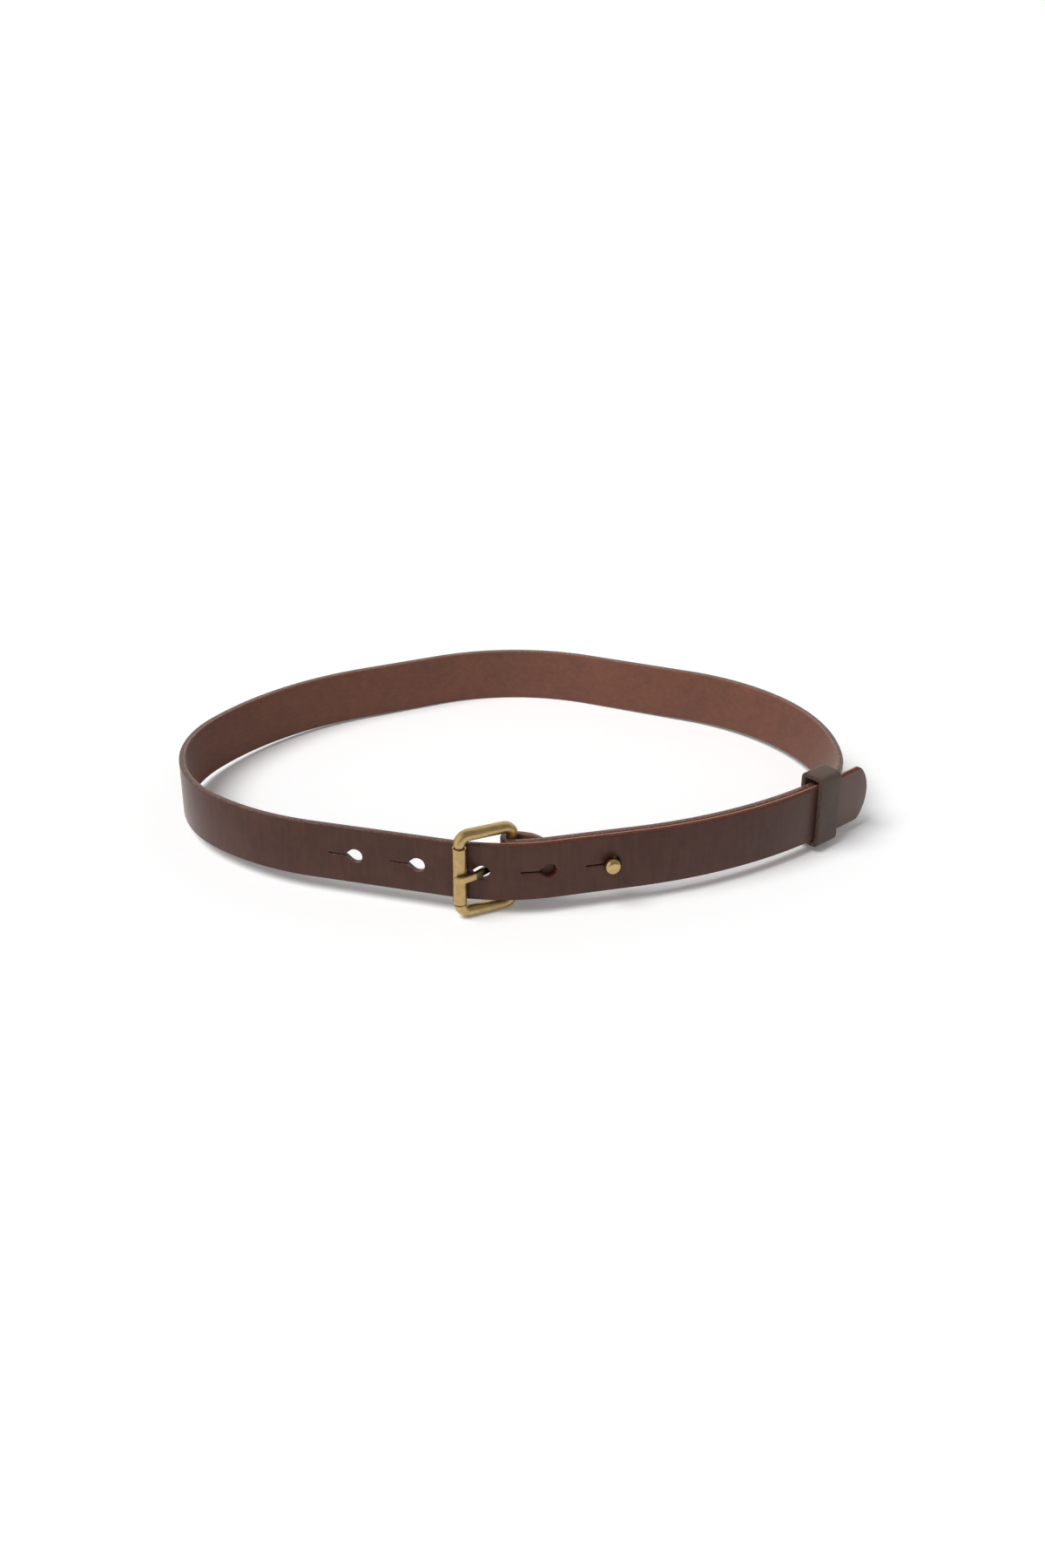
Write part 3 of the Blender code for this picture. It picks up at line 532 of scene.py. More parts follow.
def weld(mesh: bpy.types.Mesh, merge: float = MERGE, flat: float = 0.05) -> bpy.types.Mesh:
    """Merge doubles, make flat parts whole faces and turn every face out.

    Args:
        mesh: the mesh, changed in place.
        merge: how near points lie that are merged.
        flat: the angle below which neighbours count as flat, or 0 to leave them.

    Returns:
        The same mesh.
    """
    with reshaped(mesh) as shape:
        bmesh.ops.remove_doubles(shape, verts=shape.verts, dist=merge)
        if flat:
            bmesh.ops.dissolve_limit(shape, angle_limit=radians(flat), verts=shape.verts, edges=shape.edges)
        bmesh.ops.recalc_face_normals(shape, faces=shape.faces)
    return mesh


def flat_mesh(name: str, outlines: list[list[Vector]], thickness: float, edge: float,
              rounds: int) -> bpy.types.Mesh:
    """Closed outlines filled on both sides, through a curve that is removed again.

    Args:
        name: the mesh's name.
        outlines: the outer outline and the outlines of any openings.
        thickness: from face to face.
        edge: the radius of its rounded edges.
        rounds: how finely they are rounded.

    Returns:
        The mesh, welded.
    """
    curve = bpy.data.curves.new(name, "CURVE")
    curve.dimensions = "2D"
    curve.fill_mode = "BOTH"
    curve.extrude = thickness / 2 - edge
    curve.bevel_depth = edge
    curve.bevel_resolution = rounds
    curve.offset = -edge
    for outline in outlines:
        spline = curve.splines.new("POLY")
        spline.points.add(len(outline) - 1)
        for index, point in enumerate(outline):
            spline.points[index].co = (*point, 0.0, 1.0)
        spline.use_cyclic_u = True
    guide = link(bpy.data.objects.new(name, curve))
    mesh = evaluated_mesh(guide)
    bpy.data.objects.remove(guide, do_unlink=True)
    return weld(mesh)


def skin(name: str, rings: list[list[Vector]]) -> bpy.types.Mesh:
    """A closed mesh through rings of points, capped at both ends.

    Args:
        name: the mesh's name.
        rings: the rings in order. A ring of one point is a pole.

    Returns:
        The mesh, with its faces turned out.
    """
    mesh = bpy.data.meshes.new(name)
    count = max(len(ring) for ring in rings)
    with reshaped(mesh) as shape:
        made = [[shape.verts.new(point) for point in ring] for ring in rings]
        for near, far in zip(made, made[1:]):
            for step in range(count):
                ahead = (step + 1) % count
                corners = (near[step % len(near)], near[ahead % len(near)], far[ahead % len(far)],
                           far[step % len(far)])
                shape.faces.new(list(dict.fromkeys(corners)))
        for ring in (made[0], made[-1]):
            if len(ring) > 2:
                shape.faces.new(ring)
        bmesh.ops.recalc_face_normals(shape, faces=shape.faces)
    return mesh


def grown(outline: list[Vector], gap: float) -> list[Vector]:
    """An anticlockwise outline moved outward by a gap.

    Args:
        outline: the closed outline.
        gap: how far it moves.

    Returns:
        The moved outline, point for point.
    """
    points = []
    for index, point in enumerate(outline):
        come = (point - outline[index - 1]).normalized()
        go = (outline[(index + 1) % len(outline)] - point).normalized()
        out = -left_of(come) - left_of(go)
        points.append(point + out * gap * 2 / max(out.length_squared, 1.0))
    return points


def flared(name: str, outline: list[Vector], half: float, rim: float) -> bpy.types.Mesh:
    """A punch that flares at both faces of the leather, so that the hole comes out with round rims.

    Args:
        name: the punch's name.
        outline: the hole, anticlockwise.
        half: half the leather's thickness.
        rim: the radius of the rims.

    Returns:
        The punch, with its middle at the middle of the leather.
    """
    proud, steps = 0.00001, 4
    levels = [(2.0 * half, rim)]
    for step in range(steps):
        way = radians(90.0 - 90.0 * step / (steps - 1))
        levels.append((half + proud - rim * (1.0 - sin(way)), rim * (1.0 - cos(way))))
    levels += [(-height, grow) for height, grow in reversed(levels)]
    return skin(name, [[Vector((*point, height)) for point in grown(outline, grow)]
                       for height, grow in levels])


def disc_mesh(name: str, radius: float, depth: float, sides: int = 40) -> bpy.types.Mesh:
    """A plain cylinder, for a punch.

    Args:
        name: the punch's name.
        radius: its radius.
        depth: its whole height.
        sides: how many facets it has round.

    Returns:
        The cylinder.
    """
    mesh = bpy.data.meshes.new(name)
    with reshaped(mesh) as shape:
        bmesh.ops.create_cone(shape, cap_ends=True, segments=sides, radius1=radius, radius2=radius,
                              depth=depth, matrix=Matrix.Rotation(pi / sides, 4, "Z"))
    return mesh


def punch(mesh: bpy.types.Mesh, tools: list[bpy.types.Object]) -> bpy.types.Mesh:
    """Cut every tool out of a mesh and remove the tools.

    Args:
        mesh: the mesh.
        tools: the punches, each in its place.

    Returns:
        A mesh with the cuts made.
    """
    blank = link(bpy.data.objects.new("blank", mesh))
    for tool in tools:
        cut = blank.modifiers.new(tool.name, "BOOLEAN")
        cut.operation = "DIFFERENCE"
        cut.solver = "EXACT"
        cut.object = tool
    result = evaluated_mesh(blank)
    for item in [blank, *tools]:
        bpy.data.objects.remove(item, do_unlink=True)
    return result


def tool_at(name: str, mesh: bpy.types.Mesh, spot: tuple[float, float, float]) -> bpy.types.Object:
    """A punch in its place.

    Args:
        name: its name.
        mesh: its shape.
        spot: where it stands.

    Returns:
        The punch's object.
    """
    tool = link(bpy.data.objects.new(name, mesh))
    tool.location = spot
    return tool


def hide_layers(mesh: bpy.types.Mesh) -> tuple[list, bpy.types.MeshUVLoopLayer]:
    """New layers for a hide finish.

    Args:
        mesh: the mesh that gets them.

    Returns:
        The layers of its cut edges, its flesh side, its pale corners of wear and painted highlight, and its raw
        parts, and a map.
    """
    names = ("edge", "flesh", "wear_and_highlight", "raw")
    mesh.uv_layers.new(name="lay")
    for name in names:
        mesh.attributes.new(name, "FLOAT", "CORNER")
    return [mesh.attributes[name] for name in names], mesh.uv_layers["lay"]


def painted_shade(mesh: bpy.types.Mesh, shares: list[float]) -> None:
    """Write how much painted shade darkens the brass at each vertex.

    Args:
        mesh: the mesh.
        shares: one share for each vertex, from 0 for no painted shade to 1 for full painted shade.
    """
    mesh.attributes.new("painted_shade", "FLOAT", "POINT").data.foreach_set("value", shares)


def worked_out(tree: bpy.types.NodeTree, start: bpy.types.Mesh, sizes: dict) -> bpy.types.Mesh:
    """The plain mesh that a Geometry Nodes tree makes.

    Args:
        tree: the tree.
        start: the mesh that it starts from.
        sizes: values for the tree's inputs, by their names.

    Returns:
        The mesh.
    """
    item = link(bpy.data.objects.new(tree.name, start))
    steps = item.modifiers.new(tree.name, "NODES")
    steps.node_group = tree
    for socket in tree.interface.items_tree:
        if socket.name in sizes:
            steps[socket.identifier] = sizes[socket.name]
    mesh = evaluated_mesh(item)
    item.modifiers.remove(steps)
    bpy.data.objects.remove(item, do_unlink=True)
    return weld(mesh, MERGE / 2, 0.0)


def dress(name: str, mesh: bpy.types.Mesh, place: Matrix, material: bpy.types.Material, body: Body,
          slot: Slot, *nodes: str, smooth: float = 35.0) -> bpy.types.Object:
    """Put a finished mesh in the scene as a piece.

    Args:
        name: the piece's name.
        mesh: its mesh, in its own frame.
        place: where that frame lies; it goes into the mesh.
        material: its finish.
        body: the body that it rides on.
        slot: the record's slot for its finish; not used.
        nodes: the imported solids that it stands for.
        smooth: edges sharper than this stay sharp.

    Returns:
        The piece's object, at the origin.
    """
    mesh.name = name
    mesh.transform(place)
    mesh.materials.clear()
    mesh.materials.append(material)
    mesh.shade_smooth()
    mesh.set_sharp_from_angle(angle=radians(smooth))
    piece = link(bpy.data.objects.new(name, mesh))
    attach(piece, body.value)
    if nodes:
        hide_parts(*nodes)
    LOG.info("%s: %d faces, rides on %s", name, len(mesh.polygons), body.value)
    return piece


# ---- finishes ------------------------------------------------------------------------------------------
def from_screen(*levels: int) -> Colour:
    """A colour as read off a screen, in the linear values that shaders take.

    Args:
        levels: red, green and blue, each up to 255.

    Returns:
        The linear colour.
    """
    shares = [level / 255.0 for level in levels]
    return tuple(share / 12.92 if share <= 0.04045 else ((share + 0.055) / 1.055) ** 2.4 for share in shares)


class Nodes:
    """Adds nodes to a tree and links them, so that a finish reads as a recipe."""

    def __init__(self, tree: bpy.types.NodeTree) -> None:
        """Work on a tree."""
        self.tree = tree

    def add(self, kind: str, settings: dict | None = None, **inputs) -> bpy.types.Node:
        """Add a node.

        Args:
            kind: the node's type.
            settings: its properties.
            inputs: its sockets by name, each a value or the output socket that feeds it.

        Returns:
            The node.
        """
        node = self.tree.nodes.new(kind)
        for name, value in (settings or {}).items():
            setattr(node, name, value)
        for name, value in inputs.items():
            self.feed(node.inputs[int(name[1:]) if name[0] == "_" else name.replace("_", " ")], value)
        return node

    def feed(self, socket: bpy.types.NodeSocket, value: object) -> None:
        """Link or set one socket.

        Args:
            socket: the socket.
            value: an output socket to link to it, or its value.
        """
        if isinstance(value, bpy.types.NodeSocket):
            self.tree.links.new(value, socket)
        elif isinstance(value, tuple) and len(value) == 3 and socket.type == "RGBA":
            socket.default_value = (*value, 1.0)
        else:
            socket.default_value = value

    def feed_all(self, node: bpy.types.Node, values: dict[str, object]) -> None:
        """Link or set the sockets of a node by their names."""
        for name, value in values.items():
            self.feed(node.inputs[name], value)

    def math(self, operation: str, one: object, other: object, clamp: bool = False) -> bpy.types.NodeSocket:
        """The result of a sum on two values."""
        return self.add("ShaderNodeMath", {"operation": operation, "use_clamp": clamp}, _0=one,
                        _1=other).outputs[0]

    def plus(self, one: object, other: object, clamp: bool = False) -> bpy.types.NodeSocket:
        """The sum of two values."""
        return self.math("ADD", one, other, clamp)

    def times(self, one: object, other: object) -> bpy.types.NodeSocket:
        """The product of two values."""
        return self.math("MULTIPLY", one, other)

    def most(self, one: object, other: object) -> bpy.types.NodeSocket:
        """The larger of two values."""
        return self.math("MAXIMUM", one, other)

    def along(self, look: object, way: tuple[float, float, float]) -> bpy.types.NodeSocket:
        """How far a direction looks along another, from -1 to 1."""
        return self.add("ShaderNodeVectorMath", {"operation": "DOT_PRODUCT"}, _0=look,
                        _1=Vector(way).normalized()).outputs["Value"]

    def blend(self, share: object, one: object, other: object) -> bpy.types.NodeSocket:
        """A mix of two colours."""
        return self.add("ShaderNodeMix", {"data_type": "RGBA"}, _0=share, _6=one, _7=other).outputs[2]

    def attribute(self, name: str) -> bpy.types.NodeSocket:
        """The value of one of the piece's own attributes."""
        return self.add("ShaderNodeAttribute", {"attribute_name": name}).outputs["Fac"]

    def noise(self, where: object, scale: float, detail: float, rough: float) -> bpy.types.NodeSocket:
        """A soft noise from 0 to 1."""
        return self.add("ShaderNodeTexNoise", None, Vector=where, Scale=scale, Detail=detail,
                        Roughness=rough).outputs[0]

    def range(self, value: object, low: float, high: float, to_low: float = 0.0,
              to_high: float = 1.0) -> bpy.types.NodeSocket:
        """A value moved from one range to another with a soft start and end, and held inside it."""
        return self.add("ShaderNodeMapRange", {"interpolation_type": "SMOOTHSTEP"}, _0=value, _1=low, _2=high,
                        _3=to_low, _4=to_high).outputs[0]

    def stretch(self, where: object, scale: tuple[float, float, float]) -> bpy.types.NodeSocket:
        """Coordinates scaled unevenly."""
        return self.add("ShaderNodeMapping", None, Vector=where, Scale=scale).outputs[0]

    def bar(self, line: object, facets: object, radius: object, **more: object) -> bpy.types.NodeSocket:
        """A round bar along a curve.

        Args:
            line: the curve.
            facets: how many facets the bar has round.
            radius: its radius.
            more: other sockets of Curve to Mesh.

        Returns:
            The bar's geometry.
        """
        ring = self.add("GeometryNodeCurvePrimitiveCircle", None, Resolution=facets, Radius=radius).outputs[0]
        return self.add("GeometryNodeCurveToMesh", None, Curve=line, Profile_Curve=ring, **more).outputs[0]

    def finished(self, shape: object, finish: object) -> bpy.types.NodeSocket:
        """Geometry made real, with its material set."""
        plain = self.add("GeometryNodeRealizeInstances", None, Geometry=shape).outputs[0]
        return self.add("GeometryNodeSetMaterial", None, Geometry=plain, Material=finish).outputs[0]

    def bump(self, height: object, strength: float, distance: float, **under: object) -> bpy.types.NodeSocket:
        """A normal raised by a height, over another where one is given."""
        return self.add("ShaderNodeBump", None, Height=height, Strength=strength, Distance=distance,
                        **under).outputs[0]


def new_material(name: str) -> tuple[bpy.types.Material, Nodes, bpy.types.Node]:
    """A node material.

    Args:
        name: its name.

    Returns:
        The material, its nodes, and its Principled shader.
    """
    material = bpy.data.materials.new(name)
    material.use_nodes = True
    return material, Nodes(material.node_tree), material.node_tree.nodes["Principled BSDF"]


def new_tree(name: str, kind: str, takes: dict[str, str], gives: dict[str, str]) -> tuple[
        bpy.types.NodeTree, Nodes, bpy.types.bpy_prop_collection, bpy.types.bpy_prop_collection]:
    """A node group with named sockets.

    Args:
        name: the group's name.
        kind: Shader or Geometry.
        takes: the names of its inputs and their kinds.
        gives: the names of its outputs and their kinds.

    Returns:
        The group, its nodes, the sockets that give its inputs and the sockets that take its outputs.
    """
    tree = bpy.data.node_groups.new(name, f"{kind}NodeTree")
    for way, sockets in (("INPUT", takes), ("OUTPUT", gives)):
        for socket, value in sockets.items():
            tree.interface.new_socket(socket, in_out=way, socket_type=f"NodeSocket{value}")
    nodes = Nodes(tree)
    return tree, nodes, nodes.add("NodeGroupInput").outputs, nodes.add("NodeGroupOutput").inputs


def hide_grain_group() -> bpy.types.NodeTree:
    """The height of leather's pores and fine creases, and its mottling, shared by the strap and the keeper.

    Returns:
        The group.
    """
    ready = bpy.data.node_groups.get("hide_grain")
    if ready:
        return ready
    tree, nodes, given, out = new_tree("hide_grain", "Shader", {"Vector": "Vector"},
                                       {"Height": "Float", "Mottle": "Float"})
    where = given["Vector"]
    swirl = nodes.add("ShaderNodeTexNoise", None, Vector=where, Scale=900.0, Detail=2.0).outputs[1]
    shift = nodes.add("ShaderNodeVectorMath", {"operation": "SCALE"}, _0=swirl, Scale=0.0006).outputs[0]
    bent = nodes.add("ShaderNodeVectorMath", {"operation": "ADD"}, _0=where, _1=shift).outputs[0]
    pores = nodes.add("ShaderNodeTexVoronoi", {"feature": "F1"}, Vector=bent,
                      Scale=1500.0).outputs["Distance"]
    creases = nodes.noise(where, 620.0, 5.0, 0.65)
    clouds, patches = nodes.noise(where, 26.0, 4.0, 0.6), nodes.noise(where, 150.0, 4.0, 0.62)
    nodes.feed(out["Height"], nodes.plus(nodes.times(pores, 0.45), nodes.times(creases, 0.55)))
    nodes.feed(out["Mottle"], nodes.plus(nodes.times(clouds, 0.6), nodes.times(patches, 0.4)))
    return tree


def brush_marks_group() -> bpy.types.NodeTree:
    """The fine lines and the soft cloud that brushing leaves on brass, shared by all the metal.

    Returns:
        The group, which takes a place, a heading and how densely the lines lie in each direction.
    """
    ready = bpy.data.node_groups.get("brush_marks")
    if ready:
        return ready
    tree, nodes, given, out = new_tree("brush_marks", "Shader", {
        "Vector": "Vector", "Heading": "Float", "Stretch": "Vector"}, {"Lines": "Float", "Cloud": "Float"})
    turned = nodes.add("ShaderNodeVectorRotate", {"rotation_type": "Z_AXIS"}, Vector=given["Vector"],
                       Angle=given["Heading"]).outputs[0]
    drawn = nodes.add("ShaderNodeVectorMath", {"operation": "MULTIPLY"}, _0=turned,
                      _1=given["Stretch"]).outputs[0]
    nodes.feed(out["Lines"], nodes.noise(drawn, 1.0, 4.0, 0.6))
    nodes.feed(out["Cloud"], nodes.noise(given["Vector"], 420.0, 3.0, 0.55))
    return tree


@dataclass(frozen=True)
class LeatherFinish:
    """A waxed hide: a dyed grain face, a redder flesh side and cut edges, burnished or left raw."""

    name: str
    grain: Colour
    grain_light: Colour
    flesh: Colour
    flesh_dark: Colour
    edge: Colour
    edge_light: Colour
    raw: Colour
    raw_light: Colour
    # The pale colour of the flesh-side edge corners: partly wear, partly a painted highlight.
    wear_and_highlight: Colour
    # A painted sheen: the grain face pales towards this colour over a stretch near the tip.
    painted_sheen: Colour = from_screen(116, 92, 82)
    painted_sheen_from: float = 10.0
    painted_sheen_to: float = 11.0
    painted_sheen_share: float = 0.6
    streaks: tuple[float, float, float] = (420.0, 45.0, 1.0)
    fibres: tuple[float, float, float] = (260.0, 380.0, 1.0)
    speckles: float = 1500.0
    grain_roughness: float = 0.36
    patchy: float = 0.06
    flesh_roughness: float = 0.30
    raw_roughness: float = 0.40
    roughest: float = 0.95
    pore_depth: float = 0.00010
    nap_depth: float = 0.00016
    gloss: float = 0.28
    bloom: float = 0.45
    bloom_roughness: float = 0.25

    def colour(self, nodes: Nodes, mottle: object, speckle: object) -> bpy.types.NodeSocket:
        """The colour of the grain, the flesh side and the cut edges, with a painted sheen near the tip and a
        pale line of wear and painted highlight on the edges' flesh-side corners.

        Args:
            nodes: the material's nodes.
            mottle: large soft patches.
            speckle: fine spots.

        Returns:
            The colour's socket.
        """
        run = nodes.add("ShaderNodeUVMap", {"uv_map": "lay"}).outputs[0]
        raw = nodes.attribute("raw")
        streaks = nodes.noise(nodes.stretch(run, self.streaks), 1.0, 3.0, 0.6)
        face_mix = nodes.plus(nodes.times(mottle, 0.75), nodes.times(streaks, 0.25))
        face = nodes.blend(nodes.range(face_mix, 0.38, 0.64), self.grain, self.grain_light)
        along = nodes.add("ShaderNodeSeparateXYZ", None, Vector=run).outputs[0]
        # Painted sheen: the grain face grows paler between two distances along the strap.
        painted_sheen = nodes.range(along, self.painted_sheen_from, self.painted_sheen_to, 0.0, self.painted_sheen_share)
        face = nodes.blend(painted_sheen, face, self.painted_sheen)
        fibres = nodes.noise(nodes.stretch(run, self.fibres), 1.0, 5.0, 0.7)
        back_mix = nodes.plus(nodes.times(mottle, 0.6), nodes.times(fibres, 0.4))
        back = nodes.blend(nodes.range(back_mix, 0.30, 0.70), self.flesh_dark, self.flesh)
        spots = nodes.range(speckle, 0.50, 0.68)
        rim = nodes.blend(raw, nodes.blend(spots, self.edge, self.edge_light),
                          nodes.blend(spots, self.raw, self.raw_light))
        colour = nodes.blend(nodes.attribute("edge"), nodes.blend(nodes.attribute("flesh"), face, back), rim)
        # Wear and a painted highlight: a pale speckled line on the flesh-side corners of the cut edges.
        strip = nodes.times(nodes.range(nodes.attribute("wear_and_highlight"), 0.55, 0.90),
                            nodes.range(speckle, 0.30, 0.60, 0.55, 1.0))
        return nodes.blend(nodes.times(strip, nodes.plus(nodes.times(raw, 0.65), 0.20)), colour, self.wear_and_highlight)

    def material(self) -> bpy.types.Material:
        """The finish as a material that reads the piece's own attributes for its edges, flesh side, raw parts,
        and the pale corners of wear and painted highlight.

        Returns:
            The material.
        """
        material, nodes, shader = new_material(self.name)
        where = nodes.add("ShaderNodeTexCoord").outputs["Object"]
        edge, flesh, raw = nodes.attribute("edge"), nodes.attribute("flesh"), nodes.attribute("raw")
        hide = nodes.add("ShaderNodeGroup", {"node_tree": hide_grain_group()}, Vector=where).outputs
        speckle = nodes.noise(where, self.speckles, 3.0, 0.7)
        rough = nodes.range(hide["Mottle"], 0.30, 0.70, self.grain_roughness - self.patchy,
                            self.grain_roughness + self.patchy)
        rough = nodes.plus(rough, nodes.times(flesh, self.flesh_roughness))
        rough = nodes.plus(rough, nodes.times(nodes.times(edge, raw), self.raw_roughness))
        pores = nodes.bump(hide["Height"], 0.28, self.pore_depth)
        rubbed_up = nodes.times(speckle, nodes.plus(edge, flesh, True))
        nap = nodes.bump(rubbed_up, 0.50, self.nap_depth, Normal=pores)
        nodes.feed_all(shader, {
            "Base Color": self.colour(nodes, hide["Mottle"], speckle), "Normal": nap,
            "Roughness": nodes.math("MINIMUM", rough, self.roughest), "Specular IOR Level": self.gloss,
            "Sheen Weight": self.bloom, "Sheen Roughness": self.bloom_roughness})
        return material


@dataclass(frozen=True)
class BrassFinish:
    """Antique brass: brushed in one direction, with patina in its lines, and painted shade where a piece marks
    it.
    """

    name: str
    stretch: tuple[float, float, float]
    heading: float = 0.0
    bright: Colour = from_screen(196, 168, 118)
    dull: Colour = from_screen(180, 151, 102)
    patina: Colour = from_screen(122, 96, 54)
    # The colour of painted shade, mixed in where a piece marks the brass as lying in shade.
    painted_shade: Colour = from_screen(66, 52, 32)
    roughness: float = 0.36
    line_roughness: float = 0.16
    cloud_roughness: float = 0.10
    line_depth: float = 0.00002

    def material(self) -> bpy.types.Material:
        """The finish as a material on Object coordinates and the piece's own attribute of painted shade.

        Returns:
            The material.
        """
        material, nodes, shader = new_material(self.name)
        where = nodes.add("ShaderNodeTexCoord").outputs["Object"]
        marks = nodes.add("ShaderNodeGroup", {"node_tree": brush_marks_group()}, Vector=where,
                          Heading=radians(-self.heading), Stretch=self.stretch).outputs
        lines, cloud = marks["Lines"], marks["Cloud"]
        colour = nodes.blend(nodes.range(cloud, 0.30, 0.70), self.dull, self.bright)
        colour = nodes.blend(nodes.range(lines, 0.50, 0.78, 0.0, 0.30), colour, self.patina)
        rough = nodes.plus(nodes.times(lines, self.line_roughness), nodes.times(cloud, self.cloud_roughness))
        middle = self.roughness - (self.line_roughness + self.cloud_roughness) / 2
        nodes.feed_all(shader, {
            "Base Color": nodes.blend(nodes.attribute("painted_shade"), colour, self.painted_shade), "Metallic": 1.0,
            "Roughness": nodes.plus(rough, middle), "Normal": nodes.bump(lines, 0.15, self.line_depth)})
        return material


@dataclass(frozen=True)
class ThreadFinish:
    """Waxed brown thread."""

    name: str = "waxed_thread"
    colour: Colour = from_screen(84, 62, 48)
    dark: Colour = from_screen(52, 38, 30)
    twist: tuple[float, float, float] = (1800.0, 1800.0, 3600.0)
    roughness: tuple[float, float] = (0.55, 0.70)
    ply_depth: float = 0.00008

    def material(self) -> bpy.types.Material:
        """The finish as a material with a twist of fine plies.

        Returns:
            The material.
        """
        material, nodes, shader = new_material(self.name)
        where = nodes.add("ShaderNodeTexCoord").outputs["Object"]
        plies = nodes.noise(nodes.stretch(where, self.twist), 1.0, 3.0, 0.6)
        nodes.feed_all(shader, {
            "Base Color": nodes.blend(nodes.range(plies, 0.35, 0.65), self.dark, self.colour),
            "Roughness": nodes.range(plies, 0.3, 0.7, *self.roughness),
            "Normal": nodes.bump(plies, 0.4, self.ply_depth)})
        return material


# ---- strap ---------------------------------------------------------------------------------------------
@dataclass
class Strap:
    """One leather strap, cut and punched flat and then bent along its course."""

    course: Course
    ring: Matrix
    finish: LeatherFinish
    edge_radius: float = 0.0007
    edge_rounds: int = 3
    tip_bulge: float = 0.0067
    tip_corner: float = 0.004
    shoulder_start: float = 0.0155
    shoulder_end: float = 0.031
    flap_width: float = 0.020
    flap_corner: float = 0.006
    hole_count: int = 5
    hole_diameter: float = 0.0073
    taper_reach: float = 0.0057
    slit_length: float = 0.0087
    slit_width: float = 0.0008
    rim_round: float = 0.00038
    eye_reach: float = 0.0059
    slot_half_width: float = 0.0026
    stud_hole_radius: float = 0.0023
    pocket_radius: float = 0.0048
    pocket_depth: float = 0.0014
    raw_from_prong: float = 0.018
    face_up: float = 0.98
    edge_fade: float = 0.30
    map_round_edge: float = 0.004

    def outline(self) -> list[Vector]:
        """The strap laid flat: a narrower flap, the full width, and a shallow round at the tip.

        Returns:
            The closed outline, with the flap's end at the start of X.
        """
        half, corner, flap = self.course.layout.strap_width / 2, self.tip_corner, self.flap_width / 2
        length, turned = self.course.length, self.flap_corner
        radius = (half * half + self.tip_bulge ** 2) / (2 * self.tip_bulge)
        middle = Vector((length - radius, 0.0))
        reach = sqrt((radius - corner) ** 2 - (half - corner) ** 2)
        turn = degrees(atan2(half - corner, reach))
        start, end = self.course.fold_at - self.shoulder_start, self.course.fold_at - self.shoulder_end
        steps = 14
        shoulder = [Vector((start + (end - start) * step / steps, half + (flap - half) * ease(step / steps)))
                    for step in range(steps + 1)]
        points = shoulder + arc_points(Vector((turned, flap - turned)), turned, 90.0, 180.0, 12)
        points += arc_points(Vector((turned, turned - flap)), turned, 180.0, 270.0, 12)
        points += [Vector((point.x, -point.y)) for point in reversed(shoulder)]
        points += arc_points(middle + Vector((reach, corner - half)), corner, -90.0, -turn, 10)
        points += arc_points(middle, radius, -turn, turn, 36)[1:-1]
        return points + arc_points(middle + Vector((reach, half - corner)), corner, turn, 90.0, 10)

    def blank(self) -> bpy.types.Mesh:
        """The blank with rounded edges, cut across at every station.

        Returns:
            The flat mesh.
        """
        mesh = flat_mesh("blank", [self.outline()], self.course.layout.leather, self.edge_radius,
                         self.edge_rounds)
        with reshaped(mesh) as shape:
            for distance in self.course.along[1:-1]:
                everything = shape.verts[:] + shape.edges[:] + shape.faces[:]
                bmesh.ops.bisect_plane(shape, geom=everything, dist=MERGE / 4, plane_co=(distance, 0.0, 0.0),
                                       plane_no=(1.0, 0.0, 0.0))
        return mesh

    def keyhole(self) -> list[Vector]:
        """A round hole that tapers into a slit, which runs away from the tip.

        Returns:
            The closed outline round the middle of the hole.
        """
        radius, half = self.hole_diameter / 2, self.slit_width / 2
        taper = asin(radius / self.taper_reach)
        leaves = 90.0 + degrees(taper)
        throat = half / tan(taper) - self.taper_reach
        end = throat - self.slit_length
        points = arc_points(Vector((0.0, 0.0)), radius, -leaves, leaves, 56)
        points += [Vector((throat, half)), *arc_points(Vector((end + half, 0.0)), half, 90.0, 270.0, 6)]
        return points + [Vector((throat, -half))]

    def slot(self) -> list[Vector]:
        """The long round-ended slot in the fold that the prong passes through.

        Returns:
            The closed outline round the middle of the slot.
        """
        ends = pi * self.course.layout.fold_radius / 2 + self.eye_reach - self.slot_half_width
        points = arc_points(Vector((ends, 0.0)), self.slot_half_width, -90.0, 90.0, 20)
        return points + arc_points(Vector((-ends, 0.0)), self.slot_half_width, 90.0, 270.0, 20)

    def tools(self) -> list[bpy.types.Object]:
        """The punches for the keyholes, the prong's slot and the stud, whose ends flare to round the rims.

        Returns:
            The punches, each in its place over the flat blank.
        """
        course, layout = self.course, self.course.layout
        half = layout.leather / 2
        round_hole = arc_points(Vector((0.0, 0.0)), self.stud_hole_radius, 0.0, 351.0, 39)
        first, pitch = course.first_hole_at, layout.hole_pitch
        holes = [(f"keyhole_{number + 1}", self.keyhole(), first - number * pitch, 0.0)
                 for number in range(self.hole_count)]
        holes += [("prong_slot", self.slot(), course.fold_at, layout.buckle_lift - layout.prong_drop),
                  ("main_stud_hole", round_hole, course.main_stud_at, 0.0),
                  ("flap_stud_hole", round_hole, course.flap_stud_at, 0.0)]
        made = [tool_at(name, flared(name, outline, half, self.rim_round), (along, up, 0.0))
                for name, outline, along, up in holes]
        pocket = disc_mesh("stud_pocket", self.pocket_radius, self.pocket_depth * 2)
        return [*made, tool_at("stud_pocket", pocket, (course.main_stud_at, 0.0, -half))]

